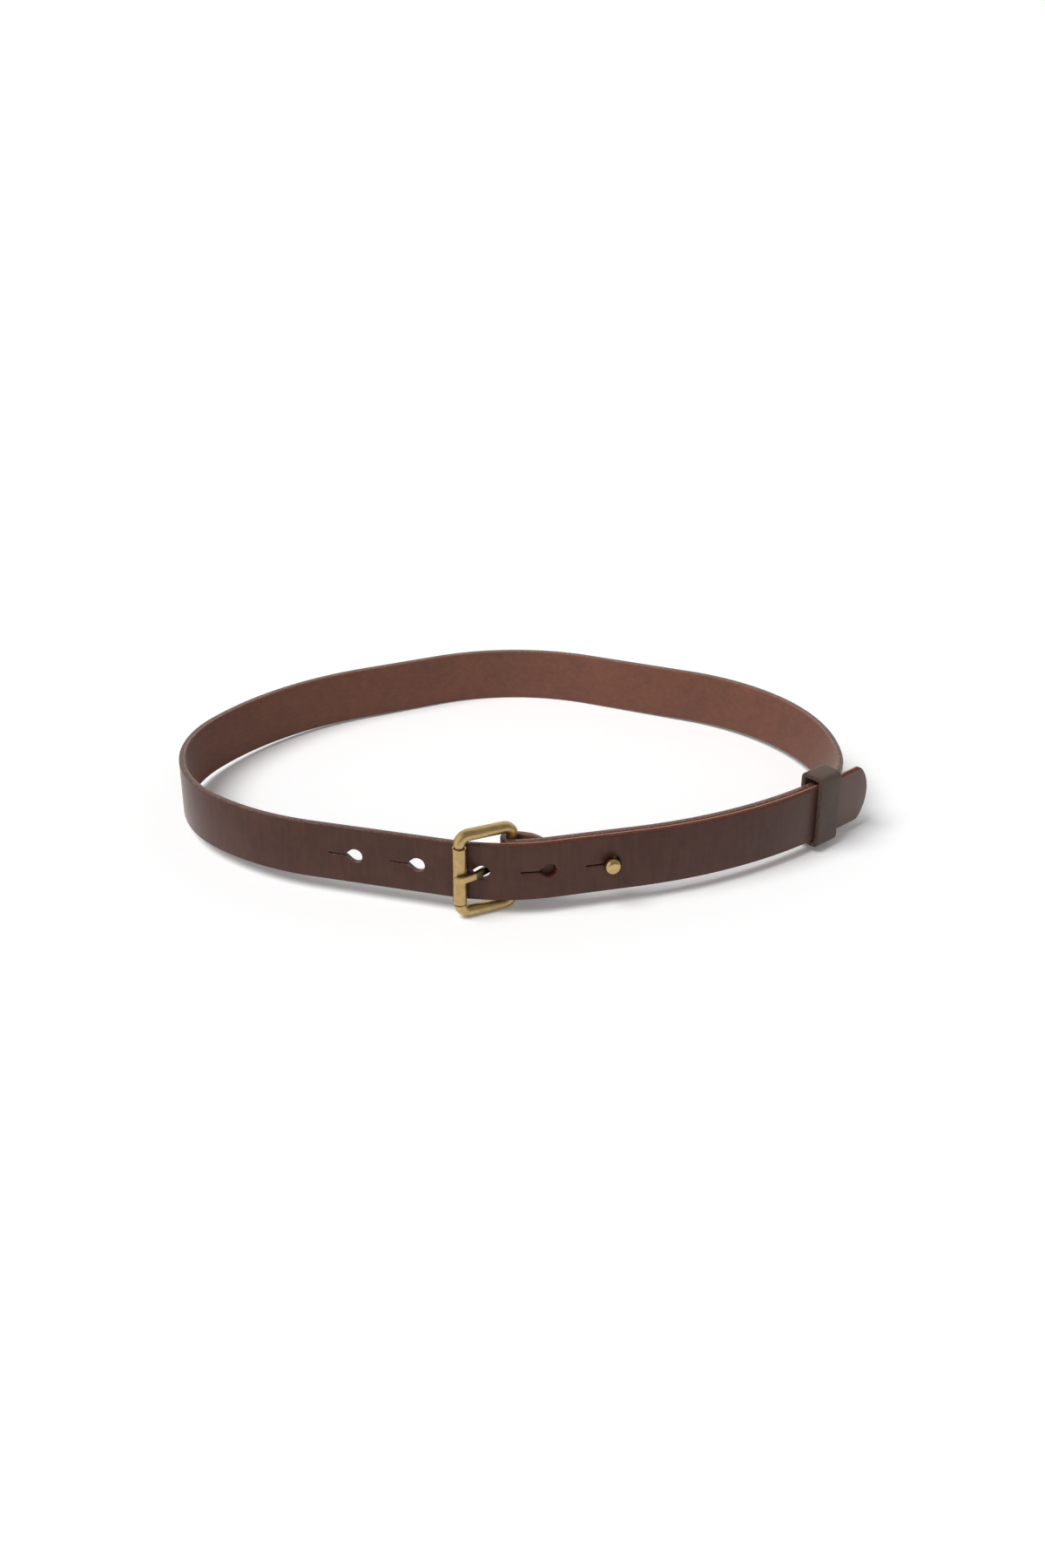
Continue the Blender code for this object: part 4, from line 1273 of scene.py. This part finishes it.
    def mark(self, mesh: bpy.types.Mesh) -> None:
        """Write where the leather is cut, shows its flesh side, gets the pale corners of wear and painted
        highlight or is left raw, and lay a map on it.

        Args:
            mesh: the flat strap, which gets the layers.
        """
        layout, leather = self.course.layout, self.course.layout.leather
        half = layout.strap_width / 2
        layers, lay = hide_layers(mesh)
        for face in mesh.polygons:
            up = abs(face.normal.z)
            edge = ease((self.face_up - up) / self.edge_fade)
            back = 1.0 if face.center.z > 0.0 and edge < 0.99 else 0.0
            past_prong = face.center.x - self.course.prong_at + self.raw_from_prong
            raw = ease(past_prong / (2 * self.raw_from_prong))
            # The flesh-side corners of the top and bottom edges are marked for a pale line, partly wear and
            # partly a painted highlight.
            outside = up < self.face_up - 0.01 and abs(abs(face.center.y) - half) < self.edge_radius * 2
            for loop in face.loop_indices:
                place = mesh.vertices[mesh.loops[loop].vertex_index].co
                wear_and_highlight = min(max(place.z / (leather / 2 - self.edge_radius), 0.0), 1.0) if outside else 0.0
                for layer, value in zip(layers, (edge, back, wear_and_highlight, raw)):
                    layer.data[loop].value = value
                lay.data[loop].uv = (place.x, place.y + (place.z / leather) * self.map_round_edge)

    def build(self) -> bpy.types.Object:
        """Punch the blank, mark it, bend it along its course and dress it.

        Returns:
            The finished strap.
        """
        mesh = punch(self.blank(), self.tools())
        self.mark(mesh)
        for vertex in mesh.vertices:
            along, up, flesh = vertex.co
            plan = self.course.place(along, 2.0 * flesh / self.course.layout.leather)
            vertex.co = (plan.x, plan.y, up + self.course.layout.middle)
        return dress("strap_leather", mesh, self.ring, self.finish.material(), Body.BELT, Slot.STRAP, "strap",
                     smooth=50.0)


# ---- keeper --------------------------------------------------------------------------------------------
def stitch_tree() -> bpy.types.NodeTree:
    """A Geometry Nodes tree for a row of short threads along Z, each of them bowed across a seam in Y.

    Returns:
        The tree.
    """
    tree, nodes, given, out = new_tree("stitch_row", "Geometry", {
        "Geometry": "Geometry", "Count": "Int", "Pitch": "Float", "Span": "Float", "Proud": "Float",
        "Thread Radius": "Float", "Finish": "Material"}, {"Geometry": "Geometry"})
    half = nodes.times(given["Span"], 0.5)
    near = nodes.add("ShaderNodeCombineXYZ", None, Y=nodes.times(half, -1.0)).outputs[0]
    far = nodes.add("ShaderNodeCombineXYZ", None, Y=half).outputs[0]
    peak = nodes.add("ShaderNodeCombineXYZ", None, X=nodes.times(given["Proud"], 2.0)).outputs[0]
    bow = nodes.add("GeometryNodeCurveQuadraticBezier", None, Resolution=10, Start=near, Middle=peak,
                    End=far).outputs[0]
    thread = nodes.bar(bow, 10, given["Thread Radius"], Fill_Caps=True)
    step = nodes.add("ShaderNodeCombineXYZ", None, Z=given["Pitch"]).outputs[0]
    row = nodes.add("GeometryNodeMeshLine", None, Count=given["Count"], Offset=step).outputs[0]
    sewn = nodes.add("GeometryNodeInstanceOnPoints", None, Points=row, Instance=thread).outputs[0]
    nodes.feed(out[0], nodes.finished(sewn, given["Finish"]))
    return tree


@dataclass
class Keeper:
    """A loop of leather round both layers, butted on its inner side and held there by thread."""

    layout: Layout
    ring: Matrix
    finish: LeatherFinish
    thread: ThreadFinish
    width: float = 0.015
    leather: float = 0.0026
    slack: float = 0.0008
    footroom: float = 0.0006
    headroom: float = 0.0034
    corner: float = 0.0032
    inner_corner: float = 0.0007
    edge_radius: float = 0.0006
    seam_width: float = 0.0006
    seam_depth: float = 0.0010
    cut_from: float = 0.05
    cut_fade: float = 0.35
    # The rounded edges are marked with a share of the pale line of wear and painted highlight.
    edge_wear_and_highlight: float = 0.45
    wear_and_highlight_from: float = 0.25
    wear_and_highlight_to: float = 0.9
    stitch_count: int = 4
    stitch_pitch: float = 0.0032
    stitch_span: float = 0.0034
    stitch_proud: float = 0.00012
    thread_radius: float = 0.00028

    def place(self) -> Matrix:
        """Local X inward, local Y up and local Z along the strap.

        Returns:
            The keeper's frame in the belt's own.
        """
        lap = self.layout.keeper_lap
        middle = self.layout.line.point(lap, (self.layout.leather + self.layout.lay_gap) / 2)
        return facing(middle, self.layout.line.at(lap)[1], 0.0, False)

    @property
    def inner_half(self) -> float:
        """From the keeper's middle to its inner faces."""
        return self.layout.leather + self.layout.lay_gap / 2 + self.slack

    def section(self, grow: float, radius: float) -> list[Vector]:
        """Once round the loop at a distance out from its inner faces, from the middle of the inner side.

        Args:
            grow: the distance.
            radius: the radius of the corners.

        Returns:
            The closed outline.
        """
        return round_box(self.inner_half + grow, -self.footroom - grow,
                         self.layout.strap_width + self.headroom + grow, radius, 12)

    def loop(self) -> bpy.types.Object:
        """The leather: the section filled, with a groove where its ends butt and with round cut edges.

        Returns:
            The finished loop.
        """
        face, middle = self.inner_half + self.leather, self.layout.strap_width / 2
        groove = [Vector((face, middle - self.seam_width / 2)), Vector((face - self.seam_depth, middle)),
                  Vector((face, middle + self.seam_width / 2))]
        mesh = flat_mesh("keeper", [groove + self.section(self.leather, self.corner),
                                    self.section(0.0, self.inner_corner)], self.width, self.edge_radius, 3)
        layers, lay = hide_layers(mesh)
        for face in mesh.polygons:
            steep = abs(face.normal.z)
            cut = ease((steep - self.cut_from) / self.cut_fade)
            values = (cut, 0.0, self.edge_wear_and_highlight if self.wear_and_highlight_from < steep < self.wear_and_highlight_to else 0.0, 0.0)
            for loop in face.loop_indices:
                place = mesh.vertices[mesh.loops[loop].vertex_index].co
                for layer, value in zip(layers, values):
                    layer.data[loop].value = value
                lay.data[loop].uv = (place.x + place.y, place.z)
        return dress("keeper_loop", mesh, self.ring @ self.place(), self.finish.material(), Body.KEEPER,
                     Slot.KEEPER, "keeper", smooth=50.0)

    def stitches(self) -> bpy.types.Object:
        """The threads that hold the butted ends together.

        Returns:
            The finished threads, as one piece.
        """
        finish = self.thread.material()
        mesh = worked_out(stitch_tree(), bpy.data.meshes.new("seam"), {
            "Count": self.stitch_count, "Pitch": self.stitch_pitch, "Span": self.stitch_span,
            "Proud": self.stitch_proud + self.thread_radius, "Thread Radius": self.thread_radius,
            "Finish": finish})
        start = Vector((self.inner_half + self.leather - self.thread_radius, self.layout.strap_width / 2,
                        -self.stitch_pitch * (self.stitch_count - 1) / 2))
        return dress("keeper_stitches", mesh, self.ring @ self.place() @ Matrix.Translation(start), finish,
                     Body.KEEPER, Slot.KEEPER)

    def build(self) -> None:
        """Make the loop and its stitches."""
        self.loop()
        self.stitches()


# ---- buckle --------------------------------------------------------------------------------------------
def bar_tree() -> bpy.types.NodeTree:
    """A Geometry Nodes tree that makes a round bar along a wire, thinner where the wire's share says so.

    Returns:
        The tree.
    """
    tree, nodes, given, out = new_tree("round_bar", "Geometry", {
        "Geometry": "Geometry", "Bar Radius": "Float", "Facets": "Int", "Finish": "Material"},
        {"Geometry": "Geometry"})
    share = nodes.add("GeometryNodeInputNamedAttribute", {"data_type": "FLOAT"},
                      Name="share").outputs["Attribute"]
    wire = nodes.add("GeometryNodeMeshToCurve", None, Mesh=given["Geometry"]).outputs[0]
    bar = nodes.bar(wire, given["Facets"], given["Bar Radius"], Scale=share)
    nodes.feed(out[0], nodes.finished(bar, given["Finish"]))
    return tree


@dataclass
class Buckle:
    """A cast ring of round bar with a rolled tube on its front bar and a cranked prong on its heel bar."""

    layout: Layout
    ring: Matrix
    clearance: float = 0.0051
    bar: float = 0.0059
    heel_bar: float = 0.0050
    axle: float = 0.0045
    corner: float = 0.0048
    shoulder_gap: float = 0.0003
    shoulder_length: float = 0.0003
    bar_facets: int = 48
    corner_facets: int = 20
    roller_length: float = 0.0300
    roller_wall: float = 0.0008
    roller_seam: float = 0.0004
    roller_drop: float = 0.0004
    roller_edge: float = 0.0003
    prong_eye_width: float = 0.0040
    prong_width: float = 0.0036
    prong_tip_width: float = 0.0031
    prong_thickness: float = 0.0022
    prong_tip_thickness: float = 0.0017
    prong_eye_turn: float = 285.0
    prong_ramp: float = 56.0
    prong_rise: float = 0.0046
    prong_shift: float = 0.0003
    prong_bend: float = 0.0016
    prong_wrap: float = 60.0
    prong_edge: float = 0.0006
    prong_roundest: float = 0.8

    def __post_init__(self) -> None:
        """Work out the ring's corners and the way that the buckle points."""
        self.end = (self.layout.strap_width + self.clearance + self.bar) / 2 - self.corner
        self.quarter = self.corner * pi / 2
        across = (self.layout.roller - self.layout.heel).normalized()
        self.pivot = upright(self.layout.heel, across, self.layout.buckle_middle)
        self.heading = degrees(atan2(across.y, across.x))

    def wire_point(self, walk: float) -> Vector:
        """A point of the upper half of the bar's middle.

        Args:
            walk: how far it is from the middle of the heel bar, on the way to the front bar.

        Returns:
            The point, across from the heel and up from the middle.
        """
        across = self.layout.reach - 2 * self.corner
        if walk <= self.end:
            return Vector((0.0, walk))
        if walk <= self.end + self.quarter:
            turn = 180.0 - degrees((walk - self.end) / self.corner)
            return Vector((self.corner, self.end)) + unit(turn) * self.corner
        if walk <= self.end + self.quarter + across:
            return Vector((walk - self.end - self.quarter + self.corner, self.end + self.corner))
        if walk <= self.end + 2 * self.quarter + across:
            turn = 90.0 - degrees((walk - self.end - self.quarter - across) / self.corner)
            return Vector((self.layout.reach - self.corner, self.end)) + unit(turn) * self.corner
        return Vector((self.layout.reach, 2 * (self.end + self.quarter) + across - walk))

    def walk_to(self, height: float) -> float:
        """How far along a bar all of it is past a height, on the inside of the corner too.

        Args:
            height: the height from the bar's middle.

        Returns:
            The distance along the bar from its middle.
        """
        if height <= self.end:
            return height
        inside = self.corner - self.bar / 2
        return self.end + self.corner * asin(min((height - self.end) / inside, 1.0))

    def wire(self) -> bpy.types.Mesh:
        """The middle line of the whole ring, with its share of the full bar at each point.

        Returns:
            A closed loop of edges, with the share as an attribute.
        """
        far_corner = self.end + self.quarter + self.layout.reach - 2 * self.corner
        whole = far_corner + self.quarter + self.end
        shoulder = self.walk_to(self.layout.strap_width / 2 + self.layout.buckle_lift + self.shoulder_gap)
        axle_shoulder = whole - self.walk_to(self.roller_length / 2 + self.roller_drop + self.shoulder_gap)
        heel, axle, nearly_full = self.heel_bar / self.bar, self.axle / self.bar, 0.985
        ledge, full_ledge = self.shoulder_length, 1.6 * self.shoulder_length
        steps = [(shoulder, heel), (shoulder + ledge, nearly_full), (shoulder + full_ledge, 1.0),
                 (axle_shoulder - full_ledge, 1.0), (axle_shoulder - ledge, nearly_full), (axle_shoulder, axle)]
        for start in (self.end, far_corner):
            for index in range(self.corner_facets + 1):
                walk = start + self.quarter * index / self.corner_facets
                if shoulder + 2 * ledge < walk < axle_shoulder - 2 * ledge:
                    steps.append((walk, 1.0))
                elif walk < shoulder - ledge:
                    steps.append((walk, heel))
                elif walk > axle_shoulder + ledge:
                    steps.append((walk, axle))
        upper = [(self.wire_point(walk), share) for walk, share in sorted(steps)]
        loop = [(point.x, 0.0, point.y) for point, _ in upper]
        loop += [(point.x, 0.0, -point.y) for point, _ in reversed(upper)]
        shares = [share for _, share in upper] + [share for _, share in reversed(upper)]
        mesh = bpy.data.meshes.new("wire")
        mesh.from_pydata(loop, [(index, (index + 1) % len(loop)) for index in range(len(loop))], [])
        mesh.attributes.new("share", "FLOAT", "POINT").data.foreach_set("value", shares)
        return mesh

    def frame(self) -> bpy.types.Object:
        """The ring, brushed along its bars.

        Returns:
            The finished ring.
        """
        finish = BrassFinish("brushed_brass_bar", (150.0, 2600.0, 2600.0), self.heading).material()
        mesh = worked_out(bar_tree(), self.wire(), {
            "Bar Radius": self.bar / 2, "Facets": self.bar_facets, "Finish": finish})
        return dress("buckle_ring", mesh, self.ring @ self.pivot, finish, Body.BUCKLE, Slot.BRASS,
                     "buckle_frame", smooth=50.0)

    def roller(self) -> bpy.types.Object:
        """The rolled tube, open along its seam and brushed round and round.

        Returns:
            The finished roller.
        """
        outer = self.layout.roller_radius
        inner = outer - self.roller_wall
        half = degrees(self.roller_seam / 2 / outer)
        points = arc_points(Vector((0.0, 0.0)), outer, half, 360.0 - half, 84)
        points += arc_points(Vector((0.0, 0.0)), inner, 360.0 - half, half, 84)
        mesh = flat_mesh("roller", [points], self.roller_length, self.roller_edge, 2)
        finish = BrassFinish("brushed_brass_roller", (170.0, 170.0, 3400.0), line_depth=0.00004).material()
        place = self.pivot @ Matrix.Translation((self.layout.reach, 0.0, -self.roller_drop))
        return dress("rolled_tube", mesh, self.ring @ place, finish, Body.ROLLER, Slot.BRASS, "roller",
                     smooth=50.0)

    def prong_line(self) -> list[tuple[Vector, float, float]]:
        """The middle of the prong from the cut end of its eye to its tip.

        Returns:
            Plan points, each with the prong's thickness and width there.
        """
        layout, line = self.layout, self.layout.line
        eye = layout.heel_radius + FIT_GAP + self.prong_thickness / 2
        heading = line.at(layout.heel_lap)[1]
        points = arc_points(layout.heel, eye, heading - 90.0 + self.prong_eye_turn, heading - 90.0, 60)
        inward, middle = layout.heel_inward - eye, layout.prong_lap + self.prong_shift
        slope = tan(radians(self.prong_ramp))
        into_hole = line.point(middle + inward / slope, inward)
        out_of_hole = line.point(middle - self.prong_rise / slope, -self.prong_rise)
        touch = layout.roller_radius + FIT_GAP + self.prong_thickness / 2
        away = layout.roller - out_of_hole
        bearing = degrees(atan2(away.y, away.x) + asin(touch / away.length))
        meets = out_of_hole + unit(bearing) * sqrt(away.length_squared - touch * touch)
        points += rounded([points[-1], into_hole, out_of_hole, meets], self.prong_bend)[1:]
        taper_starts, taper_steps, wrap_steps = len(points) - 16, 10, 20
        full = []
        for index, point in enumerate(points):
            share = ease((index - taper_starts) / taper_steps)
            full.append((point, self.prong_thickness,
                         self.prong_eye_width + (self.prong_width - self.prong_eye_width) * share))
        wrapped = arc_points(layout.roller, touch, bearing + 90.0, bearing + 90.0 - self.prong_wrap,
                             wrap_steps)
        for index, point in enumerate(wrapped):
            share = index / wrap_steps
            thick = self.prong_thickness + (self.prong_tip_thickness - self.prong_thickness) * share
            wide = self.prong_width + (self.prong_tip_width - self.prong_width) * ease(share)
            full.append((point, thick, wide))
        return full

    def prong(self) -> bpy.types.Object:
        """The strip, with round edges along it and eased ends.

        Returns:
            The finished prong.
        """
        line = self.prong_line()
        # Painted shade: the eye and the ramp through the hole are darkened, easing off before the part that
        # lies over the roller.
        lit_from, lit_steps, deepest_shade = len(line) - 33, 14, 0.85
        start = [(-0.0003, 0.0004), (-0.0001, 0.0001), (0.0, 0.0)]
        rings, dark = [], []
        for index, (point, thick, wide) in enumerate(line):
            shade_share = 1.0 - ease((index - lit_from) / lit_steps)
            before, after = line[max(index - 1, 0)][0], line[min(index + 1, len(line) - 1)][0]
            ahead = (after - before).normalized()
            across = left_of(ahead)
            ends = [(0.0, 0.0)]
            if index == 0:
                ends = start
            elif index == len(line) - 1:
                ends = [(-shift, inset) for shift, inset in reversed(start)]
            for shift, inset in ends:
                x, y = thick / 2 - inset, wide / 2 - inset
                section = round_box(x, -y, y, min(self.prong_edge, x * self.prong_roundest), 5)
                rings.append([Vector((*(point + ahead * shift + across * spot.x), spot.y))
                              for spot in section])
                dark += [shade_share * deepest_shade] * len(section)
        mesh = skin("prong", rings)
        painted_shade(mesh, dark)
        finish = BrassFinish("brushed_brass_prong", (900.0, 900.0, 2400.0), self.heading,
                             dull=from_screen(184, 158, 104)).material()
        height = self.layout.buckle_middle - self.layout.prong_drop
        return dress("cranked_prong", mesh, self.ring @ Matrix.Translation((0.0, 0.0, height)), finish,
                     Body.PRONG, Slot.BRASS, "prong", smooth=50.0)

    def build(self) -> None:
        """Make the ring, the roller and the prong."""
        self.frame()
        self.roller()
        self.prong()


# ---- stud ----------------------------------------------------------------------------------------------
def turned(name: str, profile: list[tuple[float, float]], sides: int = 72) -> bpy.types.Mesh:
    """A solid turned on a lathe.

    Args:
        name: the mesh's name.
        profile: (radius, height) points that run down its outer side.
        sides: how many facets it has round.

    Returns:
        The closed mesh, turned about Z.
    """
    rings = []
    for radius, height in profile:
        if radius < 0.000001:
            rings.append([Vector((0.0, 0.0, height))])
        else:
            rings.append([Vector((*(unit(360.0 * side / sides) * radius), height)) for side in range(sides)])
    return skin(name, rings)


@dataclass
class Stud:
    """A turned button through the first keyhole, closed from the flesh side by a slotted screw."""

    layout: Layout
    ring: Matrix
    head: float = 0.0082
    head_height: float = 0.0052
    belly: float = 0.42
    crown: float = 0.0040
    crown_rise: float = 0.00015
    neck: float = 0.0040
    flange: float = 0.0090
    flange_thickness: float = 0.0010
    barrel: float = 0.0034
    bore: float = 0.0030
    shank: float = 0.0024
    shank_length: float = 0.0028
    screw_head: float = 0.0085
    screw_head_height: float = 0.0014
    dome: float = 0.4
    slot_width: float = 0.0012
    slot_depth: float = 0.0007
    broken_edge: float = 0.0002

    def __post_init__(self) -> None:
        """Work out where the stud lies: local Z outward, and local Y up."""
        place, heading = self.layout.line.at(self.layout.stud_lap)
        self.place = self.ring @ facing(place, heading, self.layout.middle, True)
        self.finish = BrassFinish("polished_brass_stud", (700.0, 700.0, 700.0), roughness=0.24).material()

    def button(self) -> bpy.types.Object:
        """The head, neck, flange and barrel in one piece.

        Returns:
            The finished button.
        """
        under = self.layout.leather / 2 + FIT_GAP
        head, crown, neck = self.head / 2, self.crown / 2, self.neck / 2
        top = under + self.head_height
        belly = under + self.head_height * self.belly
        shoulder = top - self.crown_rise
        profile = [(0.0, top), (crown * 0.5, top - self.crown_rise * 0.3)]
        for step in range(17):
            way = radians(90.0 * step / 16)
            profile.append((crown + (head - crown) * sin(way), belly + (shoulder - belly) * cos(way)))
        for step in range(1, 12):
            way = radians(90.0 * step / 12)
            profile.append((neck + (head - neck) * cos(way), belly - (belly - under) * sin(way)))
        seat = -under - self.flange_thickness
        flange, bore, broken = self.flange / 2, self.bore / 2, self.broken_edge
        profile += [(neck, under), (neck, -under), (flange - broken, -under), (flange, -under - broken),
                    (flange, seat + broken), (flange - broken, seat), (neck, seat),
                    (neck, seat - self.barrel), (bore, seat - self.barrel)]
        floor = seat - self.barrel + self.shank_length
        mesh = turned("stud", profile + [(bore, floor), (0.0, floor)])
        # Painted shade: the head darkens from its belly down to the leather, and the neck, flange and barrel
        # are fully darkened.
        painted_shade(mesh, [1.0 - ease((vertex.co.z - under) / (belly - under)) for vertex in mesh.vertices])
        return dress("stud_button", mesh, self.place, self.finish, Body.BELT, Slot.BRASS, "stud")

    def screw(self) -> bpy.types.Object:
        """The slotted screw, with a domed edge.

        Returns:
            The finished screw.
        """
        lap = self.layout.stud_lap
        seat = -self.layout.flap_inward(lap) - self.layout.flap_thickness(lap) / 2 - FIT_GAP
        end, head, shank = seat - self.screw_head_height, self.screw_head / 2, self.shank / 2
        barrel_end = -self.layout.leather / 2 - FIT_GAP - self.flange_thickness - self.barrel
        reach = barrel_end + self.shank_length - FIT_GAP
        edge, broken = self.screw_head_height * self.dome, self.broken_edge
        profile = [(0.0, reach), (shank - broken, reach), (shank, reach - broken), (shank, seat),
                   (head, seat)]
        for step in range(7):
            way = radians(90.0 * step / 6)
            profile.append((head - edge * (1.0 - cos(way)), end + edge * (1.0 - sin(way))))
        profile.append((0.0, end))
        box = bpy.data.meshes.new("screw_slot")
        size = Matrix.Diagonal((self.screw_head * 1.2, self.slot_width, self.slot_depth * 2, 1.0))
        with reshaped(box) as shape:
            bmesh.ops.create_cube(shape, size=1.0, matrix=size)
        mesh = punch(turned("stud_screw", profile), [tool_at("screw_slot", box, (0.0, 0.0, end))])
        return dress("slotted_screw", mesh, self.place, self.finish, Body.BELT, Slot.BRASS, "stud_screw")

    def build(self) -> None:
        """Make the button and its screw."""
        self.button()
        self.screw()


# ---- studio --------------------------------------------------------------------------------------------
@dataclass(frozen=True)
class Lamp:
    """A soft distant lamp, with the way that it shines from and how wide it looks in degrees."""

    name: str
    way: tuple[float, float, float]
    strength: float
    spread: float

    def build(self) -> None:
        """Hang the lamp, unseen in the metal."""
        data = bpy.data.lights.new(self.name, "SUN")
        data.energy = self.strength
        data.angle = radians(self.spread)
        lamp = link(bpy.data.objects.new(self.name, data))
        lamp.rotation_mode = "QUATERNION"
        lamp.rotation_quaternion = Vector(self.way).to_track_quat("Z", "Y")
        lamp.visible_glossy = False


@dataclass
class Studio:
    """A pale floor, soft light and the camera of the photograph."""

    ring: Matrix
    camera_from_crown: tuple[float, float, float] = (0.0085, -0.6836, 0.410)
    tilt_down: float = 27.0
    lens: float = 38.2
    floor_half: float = 40.0
    floor_white: float = 0.07
    ambient: float = 0.23
    room: float = 0.34
    floor_grey: Colour = (0.86, 0.86, 0.86)
    white: Colour = (1.0, 1.0, 1.0)
    window: tuple[float, float, float] = (-0.85, -0.35, 0.45)
    window_light: float = 1.1
    lamps: tuple[Lamp, ...] = (Lamp("key", (-0.52, -0.26, 1.0), 2.42, 34.0),
                               Lamp("fill", (-0.20, -1.0, 0.60), 0.34, 70.0))

    def camera(self) -> None:
        """The camera, placed from the crown of the waist line."""
        data = bpy.data.cameras.new("camera")
        data.lens = self.lens
        data.sensor_width = 36.0
        data.clip_start = 0.01
        camera = link(bpy.data.objects.new("camera", data))
        look = Matrix.Rotation(radians(90.0 - self.tilt_down), 4, "X")
        camera.matrix_world = self.ring @ (Matrix.Translation(self.camera_from_crown) @ look)
        bpy.context.scene.camera = camera

    def floor(self) -> None:
        """A wide white floor that keeps the belt's shadow."""
        mesh = bpy.data.meshes.new("floor")
        with reshaped(mesh) as shape:
            bmesh.ops.create_grid(shape, x_segments=1, y_segments=1, size=self.floor_half)
        material, nodes, shader = new_material("white_floor")
        seen = nodes.add("ShaderNodeLightPath").outputs
        shown = nodes.most(seen["Is Camera Ray"],
                           nodes.most(seen["Is Glossy Ray"], seen["Is Transmission Ray"]))
        nodes.feed_all(shader, {
            "Base Color": nodes.blend(shown, self.floor_grey, self.white), "Roughness": 0.9,
            "Specular IOR Level": 0.0, "Emission Color": self.white,
            "Emission Strength": nodes.times(shown, self.floor_white)})
        mesh.materials.append(material)
        link(bpy.data.objects.new("floor", mesh))

    def world(self) -> None:
        """An even surround for diffuse light, white to the camera; metal sees a white back and a window."""
        world = bpy.data.worlds.new("surround")
        world.use_nodes = True
        bpy.context.scene.world = world
        nodes = Nodes(world.node_tree)
        shade = world.node_tree.nodes["Background"]
        seen = nodes.add("ShaderNodeLightPath").outputs
        look = nodes.add("ShaderNodeTexCoord").outputs["Generated"]
        window = nodes.range(nodes.along(look, self.window), 0.62, 0.92, 0.0, self.window_light)
        back = nodes.range(nodes.along(look, (0.0, 1.0, 0.0)), -0.05, 0.45)
        mirrored = nodes.most(nodes.most(window, back), self.room)
        plain = nodes.most(seen["Is Camera Ray"], seen["Is Transmission Ray"])
        strength = nodes.plus(self.ambient, nodes.times(plain, 1.0 - self.ambient))
        shine = nodes.times(seen["Is Glossy Ray"], nodes.math("SUBTRACT", mirrored, self.ambient))
        nodes.feed_all(shade, {"Color": self.white, "Strength": nodes.plus(strength, shine)})

    def build(self) -> None:
        """Make the whole studio."""
        self.camera()
        self.floor()
        self.world()
        for lamp in self.lamps:
            lamp.build()
        bpy.context.scene.view_settings.view_transform = "Standard"


# ---- assembly ------------------------------------------------------------------------------------------
def ring_matrix(layout: Layout, joints: list[dict]) -> Matrix:
    """Where the belt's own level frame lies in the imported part, read off the buckle's joint.

    Args:
        layout: the belt's lengths.
        joints: the frame's joints.

    Returns:
        The level frame's place.
    """
    joint = next(item for item in joints if item["name"] == "buckle_tilt")
    axis = Vector(joint["axis"])
    turn = Matrix.Rotation(-atan2(axis.y, axis.z), 4, "X")
    heel = Vector((layout.heel.x, layout.heel.y, layout.buckle_middle))
    return Matrix.Translation(Vector(joint["pos_m"]) - turn @ heel) @ turn


def main() -> None:
    """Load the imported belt, make each piece and finish."""
    logging.basicConfig(level=logging.INFO, format="%(name)s: %(message)s")
    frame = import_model()
    layout = Layout()
    ring = ring_matrix(layout, frame["joints"])
    strap_finish = LeatherFinish(
        "waxed_brown_hide", grain=from_screen(68, 38, 29), grain_light=from_screen(82, 50, 40),
        flesh=from_screen(130, 84, 67), flesh_dark=from_screen(103, 68, 57), edge=from_screen(80, 55, 48),
        edge_light=from_screen(152, 124, 112), raw=from_screen(82, 44, 36),
        raw_light=from_screen(120, 69, 53), wear_and_highlight=from_screen(204, 150, 124), painted_sheen_from=1.10, painted_sheen_to=1.165)
    keeper_finish = LeatherFinish(
        "grey_brown_hide", grain=from_screen(77, 62, 53), grain_light=from_screen(90, 75, 65),
        flesh=from_screen(110, 88, 76), flesh_dark=from_screen(80, 64, 56), edge=from_screen(70, 52, 45),
        edge_light=from_screen(112, 88, 76), raw=from_screen(70, 52, 45), raw_light=from_screen(112, 88, 76),
        wear_and_highlight=from_screen(150, 134, 124), grain_roughness=0.55)
    Strap(Course(layout), ring, strap_finish).build()
    Keeper(layout, ring, keeper_finish, ThreadFinish()).build()
    Buckle(layout, ring).build()
    Stud(layout, ring).build()
    Studio(ring).build()
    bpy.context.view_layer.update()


if __name__ == "__main__":
    main()
